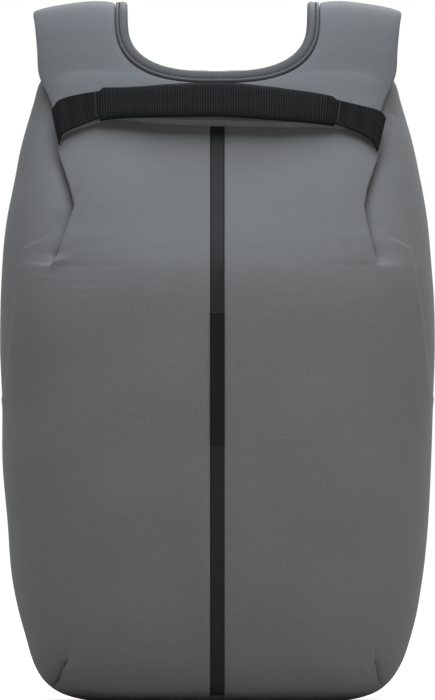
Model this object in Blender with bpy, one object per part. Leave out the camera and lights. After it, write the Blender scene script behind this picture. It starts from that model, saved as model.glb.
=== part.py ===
"""An anti-theft backpack: a hollow padded body, a yoke that folds over into two straps, and a handle.

The front of the bag faces -Y and its flat base rests on the ground at z = 0. Lengths are in metres.
Run it with blender --background --python part.py, or from the text editor.
"""

import bmesh
import bpy
import numpy as np

# The padded body
BODY_WIDTH = 0.300
BODY_HEIGHT = 0.435
BODY_DEPTH = 0.170
SHELL_WALL = 0.004
SIDE_SHARE = 0.30  # how much of the depth lies behind the widest line
SIDE_TUCK = 0.045  # how much narrower the back edge is than the widest line

# The folds between the front panel and the sides
FOLD_DEPTH = 0.009
FOLD_REACH = 0.013
FOLD_ROLL = 0.0035

# The channel down the front, the strip in it and the label on the strip
STRIP_WIDTH = 0.0095
STRIP_THICKNESS = 0.0012
LABEL_LENGTH = 0.091
LABEL_MIDDLE = 0.2225
LABEL_THICKNESS = 0.0008

# Where the strip starts and ends, as shares of BODY_HEIGHT
STRIP_LOW = 0.011
STRIP_HIGH = 0.930

# The padded yoke, whose wings fold over into the straps
YOKE_RISE = 0.0483
YOKE_TOP = BODY_HEIGHT + YOKE_RISE
YOKE_SPREAD = 0.256
YOKE_THICKNESS = 0.0045
WING_DROP = 0.009
SIDE_FALL = 0.34
NECK_WIDTH = 0.1244
NECK_SHOULDER = 0.0103  # from the wings' tops down to where the neck's curve starts
NECK_DEPTH = 0.0485  # from the wings' tops down to the bottom of the neck
NECK_CORNER = YOKE_TOP - NECK_SHOULDER
NECK_HEIGHT = YOKE_TOP - NECK_DEPTH
NECK_SQUARENESS = 2.7
BINDING_WIDTH = 0.0083
BINDING_THICKNESS = 0.0056
SEAM_BEHIND_FOLD = 0.046  # from the shoulder's crest to the strap, along the cloth
SEAT_START = 0.84  # where the yoke's seat starts, below the hem, as a share of BODY_HEIGHT
RISE_START = 0.91  # where the wings start to drop towards their outer edges, as a share of YOKE_TOP
LEVEL_CREST = 0.66  # how far out the crest stays level, as a share of half YOKE_SPREAD
FALL_POWER = 2.6  # how much of the fall back to the sides lies near the outer edges

# The carrying handle
HANDLE_SPAN = 0.2336
WEBBING_THICKNESS = 0.0016
GRIP_LENGTH = 0.163
GRIP_THICKNESS = 0.0045
GRIP_ROUNDING = 0.93  # how far towards its edges the sleeve's round face runs
FINGER_GAP = 0.017
WEBBING_ENDS = (-0.96, 0.974)  # shares of half HANDLE_SPAN

# The back panel, the straps, their adjusters, webbing and anchors
PANEL_THICKNESS = 0.012
PANEL_EDGE = 0.005
PANEL_INSET = 0.004
VALLEY_SINK = 0.55  # how much of the panel the valley between its pads takes away
VALLEY_REACH = 0.10  # half the valley's width, as a share of BODY_WIDTH
PANEL_COLUMNS = np.array([0.1, 0.2, 0.3, 0.6, 0.86, 0.96, 1.0])  # shares of the panel's half-width
STRAP_REACH = 0.060  # from the back opening to the strap's inner face
STRAP_WIDTH = 0.050
STRAP_THICKNESS = 0.012
STRAP_MIDDLE = 0.086
STRAP_END = 0.175
STRAP_NARROWS = 0.45  # the share of its length over which the strap narrows from the wing
STRAP_SWELLS = 0.12  # the share of its length over which it gets its full thickness
ADJUSTER_WIDTH = 0.040
ADJUSTER_HEIGHT = 0.024
ADJUSTER_THICKNESS = 0.007
ADJUSTER_ROUNDING = 0.25  # a share of its thickness
STRAP_WEBBING_WIDTH = 0.025
ANCHOR_INSET = 0.026  # from the back panel's edge to the middle of the anchor
ANCHOR_BOTTOM = 0.028
ANCHOR_HEIGHT = 0.026
ANCHOR_THICKNESS = 0.003
ANCHOR_OVERHANG = 0.0015  # how far the anchor reaches past the webbing on each side
SLACK_LOW = (0.2, 0.08, 0.25)  # where the slack webbing passes, as shares of its way up in x, y and z
SLACK_HIGH = (0.6, 0.5, 0.62)

# How many columns of faces the body has on each half's back bow, side and front panel
OUTER_COLUMNS = (2, 7, 9)
INNER_COLUMNS = (2, 5, 5)

# How many rows of faces the yoke has along a wing and round the neck, and columns from neck to hem
WING_ROWS = 9
NECK_ROWS = 25
YOKE_COLUMNS = 7
STRAP_ROWS = 22

# Clearances: between faces that meet, and between curved layers that lie on each other
GAP = 0.0003
LAYER_GAP = 0.0007

# Colours
BODY_CLOTH = (0.150, 0.156, 0.160)
YOKE_CLOTH = (0.168, 0.176, 0.185)
BINDING_CLOTH = (0.130, 0.136, 0.142)
PANEL_MESH = (0.030, 0.031, 0.033)
COATED_STRIP = (0.040, 0.041, 0.041)
BARE_LABEL = (0.015, 0.017, 0.016)
BLACK_WEBBING = (0.012, 0.013, 0.013)
SLEEVE_WEBBING = (0.014, 0.015, 0.015)
BUCKLE_PLASTIC = (0.018, 0.018, 0.019)


def table(columns, rows):
    """Rows of numbers as one array for each named column."""
    return dict(zip(columns.split(), np.array(rows, dtype=float).T))


# Body sections. height is a share of BODY_HEIGHT, half_width of half BODY_WIDTH, depth of BODY_DEPTH.
BODY = table(
    "height half_width depth squareness",
    [
        (0.000, 0.600, 0.690, 3.6),
        (0.005, 0.670, 0.745, 3.5),
        (0.011, 0.722, 0.785, 3.4),
        (0.020, 0.762, 0.815, 3.3),
        (0.036, 0.806, 0.842, 3.2),
        (0.062, 0.848, 0.870, 3.1),
        (0.095, 0.880, 0.896, 3.0),
        (0.145, 0.920, 0.935, 2.9),
        (0.230, 0.958, 0.972, 2.8),
        (0.340, 0.982, 0.997, 2.8),
        (0.460, 0.994, 1.000, 2.8),
        (0.560, 1.000, 0.985, 2.8),
        (0.636, 0.997, 0.962, 2.8),
        (0.700, 0.986, 0.920, 2.8),
        (0.763, 0.969, 0.847, 2.8),
        (0.825, 0.936, 0.742, 2.8),
        (0.890, 0.893, 0.620, 2.8),
        (0.954, 0.845, 0.512, 2.7),
        (0.977, 0.827, 0.470, 2.7),
        (0.993, 0.795, 0.430, 2.6),
        (1.000, 0.745, 0.385, 2.6),
    ],
)

# Folds. height is a share of BODY_HEIGHT, left and right of the half-width there, depth of FOLD_DEPTH.
FOLDS = table(
    "height left right depth",
    [
        (0.000, 0.940, 0.940, 0.10),
        (0.019, 0.965, 0.965, 0.45),
        (0.034, 0.900, 0.915, 0.45),
        (0.053, 0.840, 0.870, 0.35),
        (0.070, 0.795, 0.845, 0.12),
        (0.100, 0.770, 0.810, 0.00),
        (0.660, 0.755, 0.742, 0.00),
        (0.697, 0.749, 0.737, 0.12),
        (0.730, 0.729, 0.718, 0.60),
        (0.758, 0.706, 0.707, 0.90),
        (0.783, 0.688, 0.704, 1.00),
        (0.808, 0.708, 0.722, 0.95),
        (0.840, 0.755, 0.768, 0.90),
        (0.873, 0.805, 0.816, 1.00),
        (0.905, 0.835, 0.838, 0.90),
        (1.000, 0.870, 0.870, 0.30),
    ],
)

# The yoke above the body. rise is a share of the way from the body's shoulder to the crest,
# depth of the body's depth at the shoulder.
YOKE_PROFILE = table(
    "rise depth",
    [
        (0.186, 0.920),
        (0.372, 0.850),
        (0.558, 0.770),
        (0.706, 0.700),
        (0.836, 0.613),
        (0.930, 0.515),
        (0.985, 0.393),
        (1.000, 0.298),
        (0.985, 0.190),
        (0.910, 0.060),
        (0.780, -0.030),
    ],
)
SHOULDER_SHARE = 0.977
TURN_BACK = 0.22  # the share of STRAP_REACH behind which the wings no longer fall back to the sides

# The strap behind the bag. height is a share of YOKE_TOP, reach of STRAP_REACH.
STRAP_PROFILE = table(
    "height reach",
    [
        (0.941, 0.13),
        (0.910, 0.24),
        (0.869, 0.36),
        (0.817, 0.50),
        (0.755, 0.68),
        (0.693, 0.86),
        (0.631, 0.97),
        (0.569, 1.00),
        (0.507, 0.95),
        (0.445, 0.82),
        (0.393, 0.68),
        (0.350, 0.57),
        (0.300, 0.46),
    ],
)

# The strap's ring of points. across is a share of its width, lift of its thickness.
STRAP_RING = table(
    "across lift",
    [
        (0.00, 0.25),
        (0.06, 0.00),
        (0.50, 0.00),
        (0.94, 0.00),
        (1.00, 0.25),
        (1.00, 0.75),
        (0.94, 1.00),
        (0.50, 1.00),
        (0.06, 1.00),
        (0.00, 0.75),
    ],
)

# The yoke's outer edge. height is a share of YOKE_TOP, out of half YOKE_SPREAD.
YOKE_EDGE = table(
    "height out",
    [
        (0.790, 0.850),
        (0.807, 0.857),
        (0.828, 0.874),
        (0.850, 0.897),
        (0.870, 0.930),
        (0.890, 0.964),
        (0.935, 0.981),
        (0.981, 1.000),
    ],
)

# The yoke's hem. along is a share of half its width there, height of BODY_HEIGHT.
HEM = table(
    "along height",
    [
        (-1.00, 0.886),
        (-0.96, 0.896),
        (-0.88, 0.906),
        (-0.70, 0.919),
        (-0.35, 0.914),
        (0.00, 0.911),
        (0.40, 0.909),
        (0.75, 0.907),
        (0.88, 0.903),
        (0.96, 0.890),
        (1.00, 0.877),
    ],
)

# The handle's two edges. x is a share of half HANDLE_SPAN, z of BODY_HEIGHT, lift of FINGER_GAP.
HANDLE = table(
    "upper_x upper_z lower_x lower_z lift",
    [
        (-0.984, 0.940, -0.938, 0.881, 0.00),
        (-0.950, 0.952, -0.925, 0.895, 0.00),
        (-0.843, 0.961, -0.816, 0.910, 0.00),
        (-0.700, 0.969, -0.690, 0.923, 0.06),
        (-0.560, 0.975, -0.560, 0.927, 0.35),
        (-0.280, 0.980, -0.280, 0.929, 0.85),
        (0.000, 0.982, 0.000, 0.930, 1.00),
        (0.280, 0.975, 0.280, 0.925, 0.85),
        (0.560, 0.963, 0.560, 0.919, 0.35),
        (0.700, 0.953, 0.680, 0.914, 0.06),
        (0.843, 0.944, 0.824, 0.901, 0.00),
        (0.961, 0.936, 0.905, 0.890, 0.00),
        (1.000, 0.927, 0.950, 0.871, 0.00),
    ],
)

FRONT_FACE = BODY_DEPTH + LABEL_THICKNESS
BACK_FACE = STRAP_REACH + STRAP_THICKNESS
CREST = YOKE_TOP - max(YOKE_THICKNESS, BINDING_THICKNESS) - LAYER_GAP
CHANNEL_WIDTH = STRIP_WIDTH + 2 * GAP
CHANNEL_DEPTH = STRIP_THICKNESS + GAP
LEVELS = np.unique(np.concatenate([BODY["height"], FOLDS["height"]])) * BODY_HEIGHT


def smooth(xs, ys, at):
    """A curve through points that never swings past them: cubic steps with limited slopes."""
    at = np.clip(at, xs[0], xs[-1])
    run = np.diff(xs)
    rise = np.diff(ys) / run
    slope = np.zeros_like(ys)
    inner = rise[:-1] * rise[1:] > 0
    slope[1:-1][inner] = 2 / (1 / rise[:-1][inner] + 1 / rise[1:][inner])
    slope[0], slope[-1] = rise[0], rise[-1]
    k = np.clip(np.searchsorted(xs, at, side="right") - 1, 0, len(xs) - 2)
    t = (at - xs[k]) / run[k]
    return (
        ys[k] * (1 + 2 * t) * (1 - t) ** 2
        + ys[k + 1] * (3 - 2 * t) * t**2
        + run[k] * t * (1 - t) * (slope[k] * (1 - t) - slope[k + 1] * t)
    )


def through(points, count):
    """A smooth open curve through points, at evenly spaced places along its length."""
    points = np.asarray(points)
    reach = np.concatenate([[0], np.cumsum(np.linalg.norm(np.diff(points, axis=0), axis=1))])
    slope = np.gradient(points, reach, axis=0)
    at = np.linspace(0, reach[-1], 8 * count)
    k = np.clip(np.searchsorted(reach, at, side="right") - 1, 0, len(points) - 2)
    run = (reach[k + 1] - reach[k])[:, None]
    t = (at[:, None] - reach[k][:, None]) / run
    fine = (
        points[k] * (1 + 2 * t) * (1 - t) ** 2
        + points[k + 1] * (3 - 2 * t) * t**2
        + run * t * (1 - t) * (slope[k] * (1 - t) - slope[k + 1] * t)
    )
    length = np.concatenate([[0], np.cumsum(np.linalg.norm(np.diff(fine, axis=0), axis=1))])
    even = np.linspace(0, length[-1], count)
    return np.column_stack([np.interp(even, length, fine[:, i]) for i in range(fine.shape[1])])


def along(curve):
    """The distance along a curve's points, from its start."""
    return np.concatenate([[0], np.cumsum(np.linalg.norm(np.diff(curve, axis=0), axis=1))])


def body_size(height):
    """Half-width, depth and squareness of the body's section at a height."""
    share = np.asarray(height) / BODY_HEIGHT
    return (
        smooth(BODY["height"], BODY["half_width"], share) * BODY_WIDTH / 2,
        smooth(BODY["height"], BODY["depth"], share) * BODY_DEPTH,
        smooth(BODY["height"], BODY["squareness"], share),
    )


def body_front(x, height):
    """Depth of the body's front face at a place across it: a squared ellipse in front of the widest line."""
    half, depth, power = body_size(height)
    across = np.clip(np.abs(x) / half, 0, 1)
    return depth * (SIDE_SHARE + (1 - SIDE_SHARE) * (1 - across**power) ** (1 / power))


def body_half(heights, fold, inset, counts):
    """One half of every body section, from the back edge to the channel: x outward and depth, in rows.

    The back stretch is a shallow bow. From the widest line to the fold the columns share out the angle
    of a squared ellipse, and from the fold to the channel they share out the width.
    """
    half, depth, power = (size[:, None] for size in body_size(heights))
    half = half - inset
    depth = depth - inset
    back, side, panel = counts
    bow = np.linspace(0, 1, back + 1)[None, :-1]
    back_x = half * (1 - SIDE_TUCK * (1 - bow) ** 2)
    back_depth = depth * SIDE_SHARE * bow
    fold = fold[:, None]
    end_angle = np.arccos(fold ** (power / 2))
    angle = end_angle * (1 - (1 - np.linspace(0, 1, side + 1)[None, :]) ** 1.5)
    side_x = half * np.cos(angle) ** (2 / power)
    side_depth = depth * (SIDE_SHARE + (1 - SIDE_SHARE) * np.sin(angle) ** (2 / power))
    start = fold * half - FOLD_ROLL
    panel_x = start + (CHANNEL_WIDTH / 2 - start) * np.linspace(0, 1, panel + 1)[None, :]
    panel_depth = depth * (SIDE_SHARE + (1 - SIDE_SHARE) * (1 - (panel_x / half) ** power) ** (1 / power))
    x = np.hstack([back_x, side_x, panel_x])
    y = np.hstack([back_depth, side_depth, panel_depth])
    return x, y, back + side


def push_in(x, y, distance):
    """Points of each row moved in, square to the row's own run."""
    run_x = np.gradient(x, axis=1)
    run_y = np.gradient(y, axis=1)
    length = np.hypot(run_x, run_y)
    return x - distance * run_y / length, y + distance * run_x / length


def body_grid(heights, inset, counts, sharp):
    """The body's surface from its left back edge round the front to its right back edge.

    The fold sinks by its depth and fades with the distance from it. On a sharp surface it fades on the
    side panel only, so that the front panel rolls over it, and the channel is cut down the middle.
    """
    share = heights / BODY_HEIGHT
    sink = smooth(FOLDS["height"], FOLDS["depth"], share)[:, None] * FOLD_DEPTH
    halves = []
    for side in ("left", "right"):
        fold = smooth(FOLDS["height"], FOLDS[side], share)
        x, y, at = body_half(heights, fold, inset, counts)
        away = np.hypot(x - x[:, at : at + 1], y - y[:, at : at + 1])
        fade = np.exp(-away / FOLD_REACH)
        if sharp:
            fade[:, at + 1 :] = 0
        x, y = push_in(x, y, sink * fade)
        halves.append((x, y))
    (left_x, left_y), (right_x, right_y) = halves
    if sharp:
        channel_x = left_x[:, -1:] * 0 + STRIP_WIDTH / 2 + GAP / 2
        channel_y = left_y[:, -1:] - CHANNEL_DEPTH
        left_x, right_x = np.hstack([left_x, channel_x]), np.hstack([right_x, channel_x])
        left_y, right_y = np.hstack([left_y, channel_y]), np.hstack([right_y, channel_y])
    x = np.hstack([-left_x, right_x[:, ::-1]])
    y = -np.hstack([left_y, right_y[:, ::-1]])
    z = np.broadcast_to(heights[:, None], x.shape)
    return np.stack([x, y, z], axis=2)


def finish(name, mesh, colour, roughness, sharp_angle=40):
    """A named object with its own material, shaded smooth apart from its sharp edges."""
    material = bpy.data.materials.new(name)
    material.use_nodes = True
    shader = material.node_tree.nodes["Principled BSDF"]
    shader.inputs["Base Color"].default_value = (*colour, 1.0)
    shader.inputs["Roughness"].default_value = roughness
    shader.inputs["Metallic"].default_value = 0.0
    mesh.materials.append(material)
    mesh.shade_smooth()
    mesh.set_sharp_from_angle(angle=np.radians(sharp_angle))
    piece = bpy.data.objects.new(name, mesh)
    bpy.context.scene.collection.objects.link(piece)
    piece.parent = bpy.data.objects["bag"]
    return piece


def closed_mesh(name, points, faces):
    """A mesh from points and faces, with its faces turned outward."""
    mesh = bpy.data.meshes.new(name)
    mesh.from_pydata([tuple(p) for p in points.tolist()], [], faces)
    shape = bmesh.new()
    shape.from_mesh(mesh)
    bmesh.ops.triangulate(shape, faces=shape.faces)
    bmesh.ops.recalc_face_normals(shape, faces=shape.faces)
    shape.to_mesh(mesh)
    shape.free()
    return mesh


def grid_faces(rows, columns, start, flip=False):
    """The four-sided faces of a grid of points."""
    faces = []
    for i in range(rows - 1):
        for j in range(columns - 1):
            a = start + i * columns + j
            corners = (a, a + 1, a + columns + 1, a + columns)
            faces.append(corners[::-1] if flip else corners)
    return faces


def slab(name, top, bottom):
    """A closed solid between two grids of the same size."""
    rows, columns = top.shape[:2]
    size = rows * columns
    points = np.vstack([top.reshape(-1, 3), bottom.reshape(-1, 3)])
    faces = grid_faces(rows, columns, 0) + grid_faces(rows, columns, size, True)
    rim = list(range(columns))
    rim += [i * columns + columns - 1 for i in range(1, rows)]
    rim += [(rows - 1) * columns + j for j in range(columns - 2, -1, -1)]
    rim += [i * columns for i in range(rows - 2, 0, -1)]
    for a, b in zip(rim, rim[1:] + rim[:1]):
        faces.append((b, a, a + size, b + size))
    return closed_mesh(name, points, faces)


def tube(name, sections):
    """A closed solid through rings of points, with a flat cap at each end."""
    rings, sides = sections.shape[:2]
    faces = []
    for i in range(rings - 1):
        for j in range(sides):
            a, b = i * sides + j, i * sides + (j + 1) % sides
            faces.append((a, b, b + sides, a + sides))
    faces.append(tuple(range(sides))[::-1])
    faces.append(tuple(range((rings - 1) * sides, rings * sides)))
    return closed_mesh(name, sections.reshape(-1, 3), faces)


def main_shell():
    """The padded body: one cloth wall, open at the back, with a flat base and top."""
    outer = body_grid(LEVELS, 0.0, OUTER_COLUMNS, True)
    inner_heights = SHELL_WALL + LEVELS * (1 - 2 * SHELL_WALL / BODY_HEIGHT)
    inner = body_grid(inner_heights, SHELL_WALL, INNER_COLUMNS, False)
    rows, columns = outer.shape[:2]
    inner_columns = inner.shape[1]
    start = rows * columns
    points = np.vstack([outer.reshape(-1, 3), inner.reshape(-1, 3)])
    faces = grid_faces(rows, columns, 0)
    faces += grid_faces(rows, inner_columns, start, True)
    for column, inner_column, turn in ((0, 0, 1), (columns - 1, inner_columns - 1, -1)):
        for i in range(rows - 1):
            a, b = i * columns + column, (i + 1) * columns + column
            c = start + (i + 1) * inner_columns + inner_column
            faces.append((a, b, c, c - inner_columns)[::turn])
    for row, turn in ((0, -1), (rows - 1, 1)):
        outer_row = [row * columns + j for j in range(columns)]
        inner_row = [start + row * inner_columns + j for j in range(inner_columns)]
        faces.append(tuple(outer_row)[::turn])
        faces.append(tuple(inner_row)[::-turn])
        faces.append((outer_row[-1], outer_row[0], inner_row[0], inner_row[-1])[::turn])
    finish("main_shell", closed_mesh("main_shell", points, faces), BODY_CLOTH, 0.85)


def front_band(low, high, back, front):
    """A flat band on the body's middle line between two heights, row for row with the body's own sections.

    back and front say how far its two faces stand ahead of the cloth.
    """
    levels = LEVELS[(LEVELS > low) & (LEVELS < high)]
    heights = np.concatenate([[low], levels, [high]])
    depth = np.interp(heights, LEVELS, body_size(LEVELS)[1])
    faces = []
    for ahead in (front, back):
        y = -(depth + ahead)
        edges = [np.column_stack([side * STRIP_WIDTH / 2 + 0 * y, y, heights]) for side in (-1, 1)]
        faces.append(np.stack(edges, axis=1))
    return faces


def centre_strip():
    """The dark strip, sunk in its channel with its face level with the cloth."""
    low, high = STRIP_LOW * BODY_HEIGHT, STRIP_HIGH * BODY_HEIGHT
    front, back = front_band(low, high, -STRIP_THICKNESS, 0.0)
    finish("centre_strip", slab("centre_strip", front, back), COATED_STRIP, 0.55)


def label_tab():
    """The bare label on the strip."""
    low, high = LABEL_MIDDLE - LABEL_LENGTH / 2, LABEL_MIDDLE + LABEL_LENGTH / 2
    front, back = front_band(low, high, GAP, LABEL_THICKNESS)
    finish("label_tab", slab("label_tab", front, back), BARE_LABEL, 0.5)


def shoulder_line():
    """Depth and height of the yoke's seat: up the body's front, over the crest and down behind the bag."""
    low = SEAT_START * BODY_HEIGHT
    shoulder = SHOULDER_SHARE * BODY_HEIGHT
    front = np.linspace(low, shoulder, 5)
    shoulder_depth = float(body_size(shoulder)[1])
    points = [(float(body_size(z)[1]), z) for z in front]
    rise = CREST - shoulder
    over_x, over_z = YOKE_PROFILE["depth"] * shoulder_depth, shoulder + YOKE_PROFILE["rise"] * rise
    behind_x, behind_z = -STRAP_PROFILE["reach"] * STRAP_REACH, STRAP_PROFILE["height"] * YOKE_TOP
    points += list(zip(over_x, over_z))
    points += list(zip(behind_x, behind_z))
    return through(points, 400)


SHOULDER = shoulder_line()
SHOULDER_RUN = along(SHOULDER)
CREST_AT = int(np.argmax(SHOULDER[:, 1]))
SEAM_RUN = SHOULDER_RUN[CREST_AT] + SEAM_BEHIND_FOLD
STRAP_RUN = float(np.interp(-STRAP_END, -SHOULDER[CREST_AT:, 1], SHOULDER_RUN[CREST_AT:]))


def run_at(height):
    """The distance along the shoulder line at which its front stretch has a height."""
    return np.interp(height, SHOULDER[: CREST_AT + 1, 1], SHOULDER_RUN[: CREST_AT + 1])


BODY_TOP_RUN = run_at(BODY_HEIGHT)
RISE_RUN = run_at(RISE_START * YOKE_TOP)


def seat(x, run):
    """A point of the yoke's seat, from its place across the bag and along the shoulder line.

    The line falls back towards the sides and its crest drops there. Where the body stands further out,
    the seat is the body's own front.
    """
    depth = np.interp(run, SHOULDER_RUN, SHOULDER[:, 0])
    height = np.interp(run, SHOULDER_RUN, SHOULDER[:, 1])
    out = np.abs(x) / (YOKE_SPREAD / 2)
    behind = TURN_BACK * STRAP_REACH
    ahead = np.maximum(depth + behind, 0)
    own = depth - ahead * SIDE_FALL * out**FALL_POWER
    crest_run = SHOULDER_RUN[CREST_AT]
    rising = np.clip((run - RISE_RUN) / (crest_run - RISE_RUN), 0, 1)
    fading = np.clip((run - SEAM_RUN) / (STRAP_RUN - SEAM_RUN) * 3, 0, 1)
    outer = np.clip((out - LEVEL_CREST) / (1 - LEVEL_CREST), 0, 1.1)
    drop = WING_DROP * outer**1.5 * rising * (1 - fading)
    on_body = (run < BODY_TOP_RUN) * body_front(x, np.minimum(height, BODY_HEIGHT))
    own = np.where(run < crest_run, np.maximum(own, on_body), own)
    return np.stack([x + 0 * own, -own, height - drop], axis=-1)


def lifted(x, run, lift):
    """A point at a distance from the seat, square to it."""
    step = 0.001
    across = seat(x + step, run) - seat(x - step, run)
    up = seat(x, run + step) - seat(x, run - step)
    normal = np.cross(across, up)
    normal = normal / np.linalg.norm(normal, axis=-1, keepdims=True)
    return seat(x, run) + normal * np.asarray(lift)[..., None]


def settled(x, run, lift):
    """Where to start on the seat, so that the lifted point shows in its own place from the front.

    That is at x and at the line's own height. Close under the crest and behind it only x is kept.
    """
    height = np.interp(run, SHOULDER_RUN, SHOULDER[:, 1])
    keep = np.clip((NECK_CORNER - height) / (0.05 * NECK_CORNER), 0, 1) * (run < SHOULDER_RUN[CREST_AT])
    seat_x, seat_run = x + 0.0, run + 0.0
    for _ in range(5):
        shown = lifted(seat_x, seat_run, lift)
        seat_x = seat_x + x - shown[..., 0]
        seat_run = seat_run + keep * (height - shown[..., 2])
    return seat_x, seat_run


def neck_line(inset, count):
    """The neck's edge in the flat: x and run, from the left seam over the shoulder, round the neck and back.

    The neck is half a squared ellipse between two straight sides. inset moves the line out into the cloth.
    """
    half = NECK_WIDTH / 2 + inset
    deep = NECK_CORNER - NECK_HEIGHT + inset
    angle = np.linspace(0, np.pi, count)
    cosine, sine = np.cos(angle), np.sin(angle)
    x = -half * np.sign(cosine) * np.abs(cosine) ** (2 / NECK_SQUARENESS)
    run = run_at(NECK_CORNER - deep * np.abs(sine) ** (2 / NECK_SQUARENESS))
    sides = np.linspace(SEAM_RUN, run_at(NECK_CORNER), WING_ROWS, endpoint=False)
    x = np.concatenate([np.full(WING_ROWS, -half), x, np.full(WING_ROWS, half)])
    run = np.concatenate([sides, run, sides[::-1]])
    return x, run


def hem_line(count):
    """The yoke's outer edge in the flat, row for row with the neck's: down, along the hem and up."""
    edge_x = YOKE_EDGE["out"] * YOKE_SPREAD / 2
    edge_run = run_at(YOKE_EDGE["height"] * YOKE_TOP)
    corner = float(edge_x[0])
    hem_x = HEM["along"] * corner
    hem_run = run_at(HEM["height"] * BODY_HEIGHT)
    left = np.column_stack([-edge_x[::-1], edge_run[::-1]])
    right = np.column_stack([edge_x, edge_run])
    left = left[left[:, 1] > hem_run[0] + 0.002]
    right = right[right[:, 1] > hem_run[-1] + 0.002]
    hem = np.column_stack([hem_x, hem_run])
    line = through(np.vstack([left, hem, right]), 300)
    length = along(line)
    at = np.linspace(0, length[-1], count)
    x = np.interp(at, length, line[:, 0])
    run = np.interp(at, length, line[:, 1])
    sides = np.linspace(SEAM_RUN, edge_run[-1], WING_ROWS, endpoint=False)
    wing = np.full(WING_ROWS, YOKE_SPREAD / 2)
    return np.concatenate([-wing, x, wing]), np.concatenate([sides, run, sides[::-1]])


def yoke():
    """The padded yoke: a sheet on the front slope, with the neck cut out and two wings over the shoulders."""
    neck_x, neck_run = neck_line(BINDING_WIDTH + GAP, NECK_ROWS)
    edge_x, edge_run = hem_line(NECK_ROWS)
    share = np.linspace(0, 1, YOKE_COLUMNS)[None, :]
    x = neck_x[:, None] * (1 - share) + edge_x[:, None] * share
    run = neck_run[:, None] * (1 - share) + edge_run[:, None] * share
    x, run = settled(x, run, np.full(x.shape, LAYER_GAP + YOKE_THICKNESS))
    top = lifted(x, run, np.full(x.shape, LAYER_GAP + YOKE_THICKNESS))
    bottom = lifted(x, run, np.full(x.shape, LAYER_GAP))
    finish("yoke", slab("yoke", top, bottom), YOKE_CLOTH, 0.85)


def neck_binding():
    """The rolled edge round the neck, a flattened tube that meets the yoke's cut edge."""
    neck_x, neck_run = neck_line(0.0, NECK_ROWS)
    seam_x, seam_run = neck_line(BINDING_WIDTH, NECK_ROWS)
    rings = []
    for angle in np.linspace(0, 2 * np.pi, 8, endpoint=False):
        share = 0.5 + 0.5 * np.cos(angle)
        lift = LAYER_GAP + BINDING_THICKNESS * (0.5 + 0.5 * np.sin(angle))
        x = neck_x * (1 - share) + seam_x * share
        run = neck_run * (1 - share) + seam_run * share
        x, run = settled(x, run, np.full(x.shape, LAYER_GAP + YOKE_THICKNESS))
        rings.append(lifted(x, run, np.full(x.shape, lift)))
    finish("neck_binding", tube("neck_binding", np.stack(rings, axis=1)), BINDING_CLOTH, 0.75)


def handle_band(low, high, count, columns, stand):
    """The handle's band between two shares of its span, bowed out in front of the yoke's face.

    It stands off the face by a distance. Gives the points from edge to edge, and the way out of the cloth
    below each.
    """
    middle = (HANDLE["upper_x"] + HANDLE["lower_x"]) / 2
    at = np.linspace(low, high, count)
    edge = {name: smooth(middle, HANDLE[name], at) for name in HANDLE}
    share = np.linspace(0, 1, columns)[None, :]
    x = (edge["lower_x"][:, None] * (1 - share) + edge["upper_x"][:, None] * share) * HANDLE_SPAN / 2
    z = (edge["lower_z"][:, None] * (1 - share) + edge["upper_z"][:, None] * share) * BODY_HEIGHT
    lift = np.full(x.shape, 2 * LAYER_GAP + YOKE_THICKNESS) + stand
    x, run = settled(x, run_at(z), lift)
    points = lifted(x, run, lift)
    out = points - lifted(x, run, lift - 0.001)
    points[..., 1] -= edge["lift"][:, None] * FINGER_GAP
    return points, out / np.linalg.norm(out, axis=-1, keepdims=True)


def handle_webbing():
    """The webbing across the yoke, lying on it at both ends and bowed out in the middle."""
    back, out = handle_band(*WEBBING_ENDS, 33, 4, 0.0)
    front = back + out * WEBBING_THICKNESS
    finish("handle_webbing", slab("handle_webbing", front, back), BLACK_WEBBING, 0.8)


def handle_grip():
    """The thicker sleeve on the front of the webbing, rounded from edge to edge."""
    reach = GRIP_LENGTH / HANDLE_SPAN
    back, out = handle_band(-reach, reach, 23, 7, 0.0)
    back = back + out * (WEBBING_THICKNESS + GAP)
    crown = np.sqrt(1 - np.linspace(-GRIP_ROUNDING, GRIP_ROUNDING, 7) ** 2)[None, :, None]
    front = back + out * GRIP_THICKNESS * crown
    finish("handle_grip", slab("handle_grip", front, back), SLEEVE_WEBBING, 0.75)


def panel_back(x, height):
    """How far the back panel stands behind the opening: two long pads, thin at the edges and between."""
    half = panel_half(height)
    low, high = PANEL_INSET, BODY_HEIGHT - PANEL_INSET
    across = np.clip(np.abs(x) / half, 0, 1)
    up = np.clip(np.abs(2 * (height - low) / (high - low) - 1), 0, 1)
    round_off = (1 - across**6) * (1 - up**10)
    valley = 1 - VALLEY_SINK * np.exp(-((x / (VALLEY_REACH * BODY_WIDTH)) ** 4))
    pad = (PANEL_THICKNESS - PANEL_EDGE) * round_off * valley
    return GAP + PANEL_EDGE + pad


def panel_half(height):
    """Half-width of the back panel, a little inside the body's back edge."""
    return body_size(height)[0] * (1 - SIDE_TUCK) - 0.5 * PANEL_INSET


def back_panel():
    """The padded panel that closes the body against the wearer's back."""
    heights = np.linspace(PANEL_INSET, BODY_HEIGHT - PANEL_INSET, 25)[:, None]
    half = panel_half(heights)
    x = half * np.concatenate([-PANEL_COLUMNS[::-1], PANEL_COLUMNS])[None, :]
    z = heights + 0 * x
    outer = np.stack([x, panel_back(x, z), z], axis=2)
    inner = np.stack([x, GAP + 0 * x, z], axis=2)
    finish("back_panel", slab("back_panel", outer, inner), PANEL_MESH, 0.9)


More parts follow.
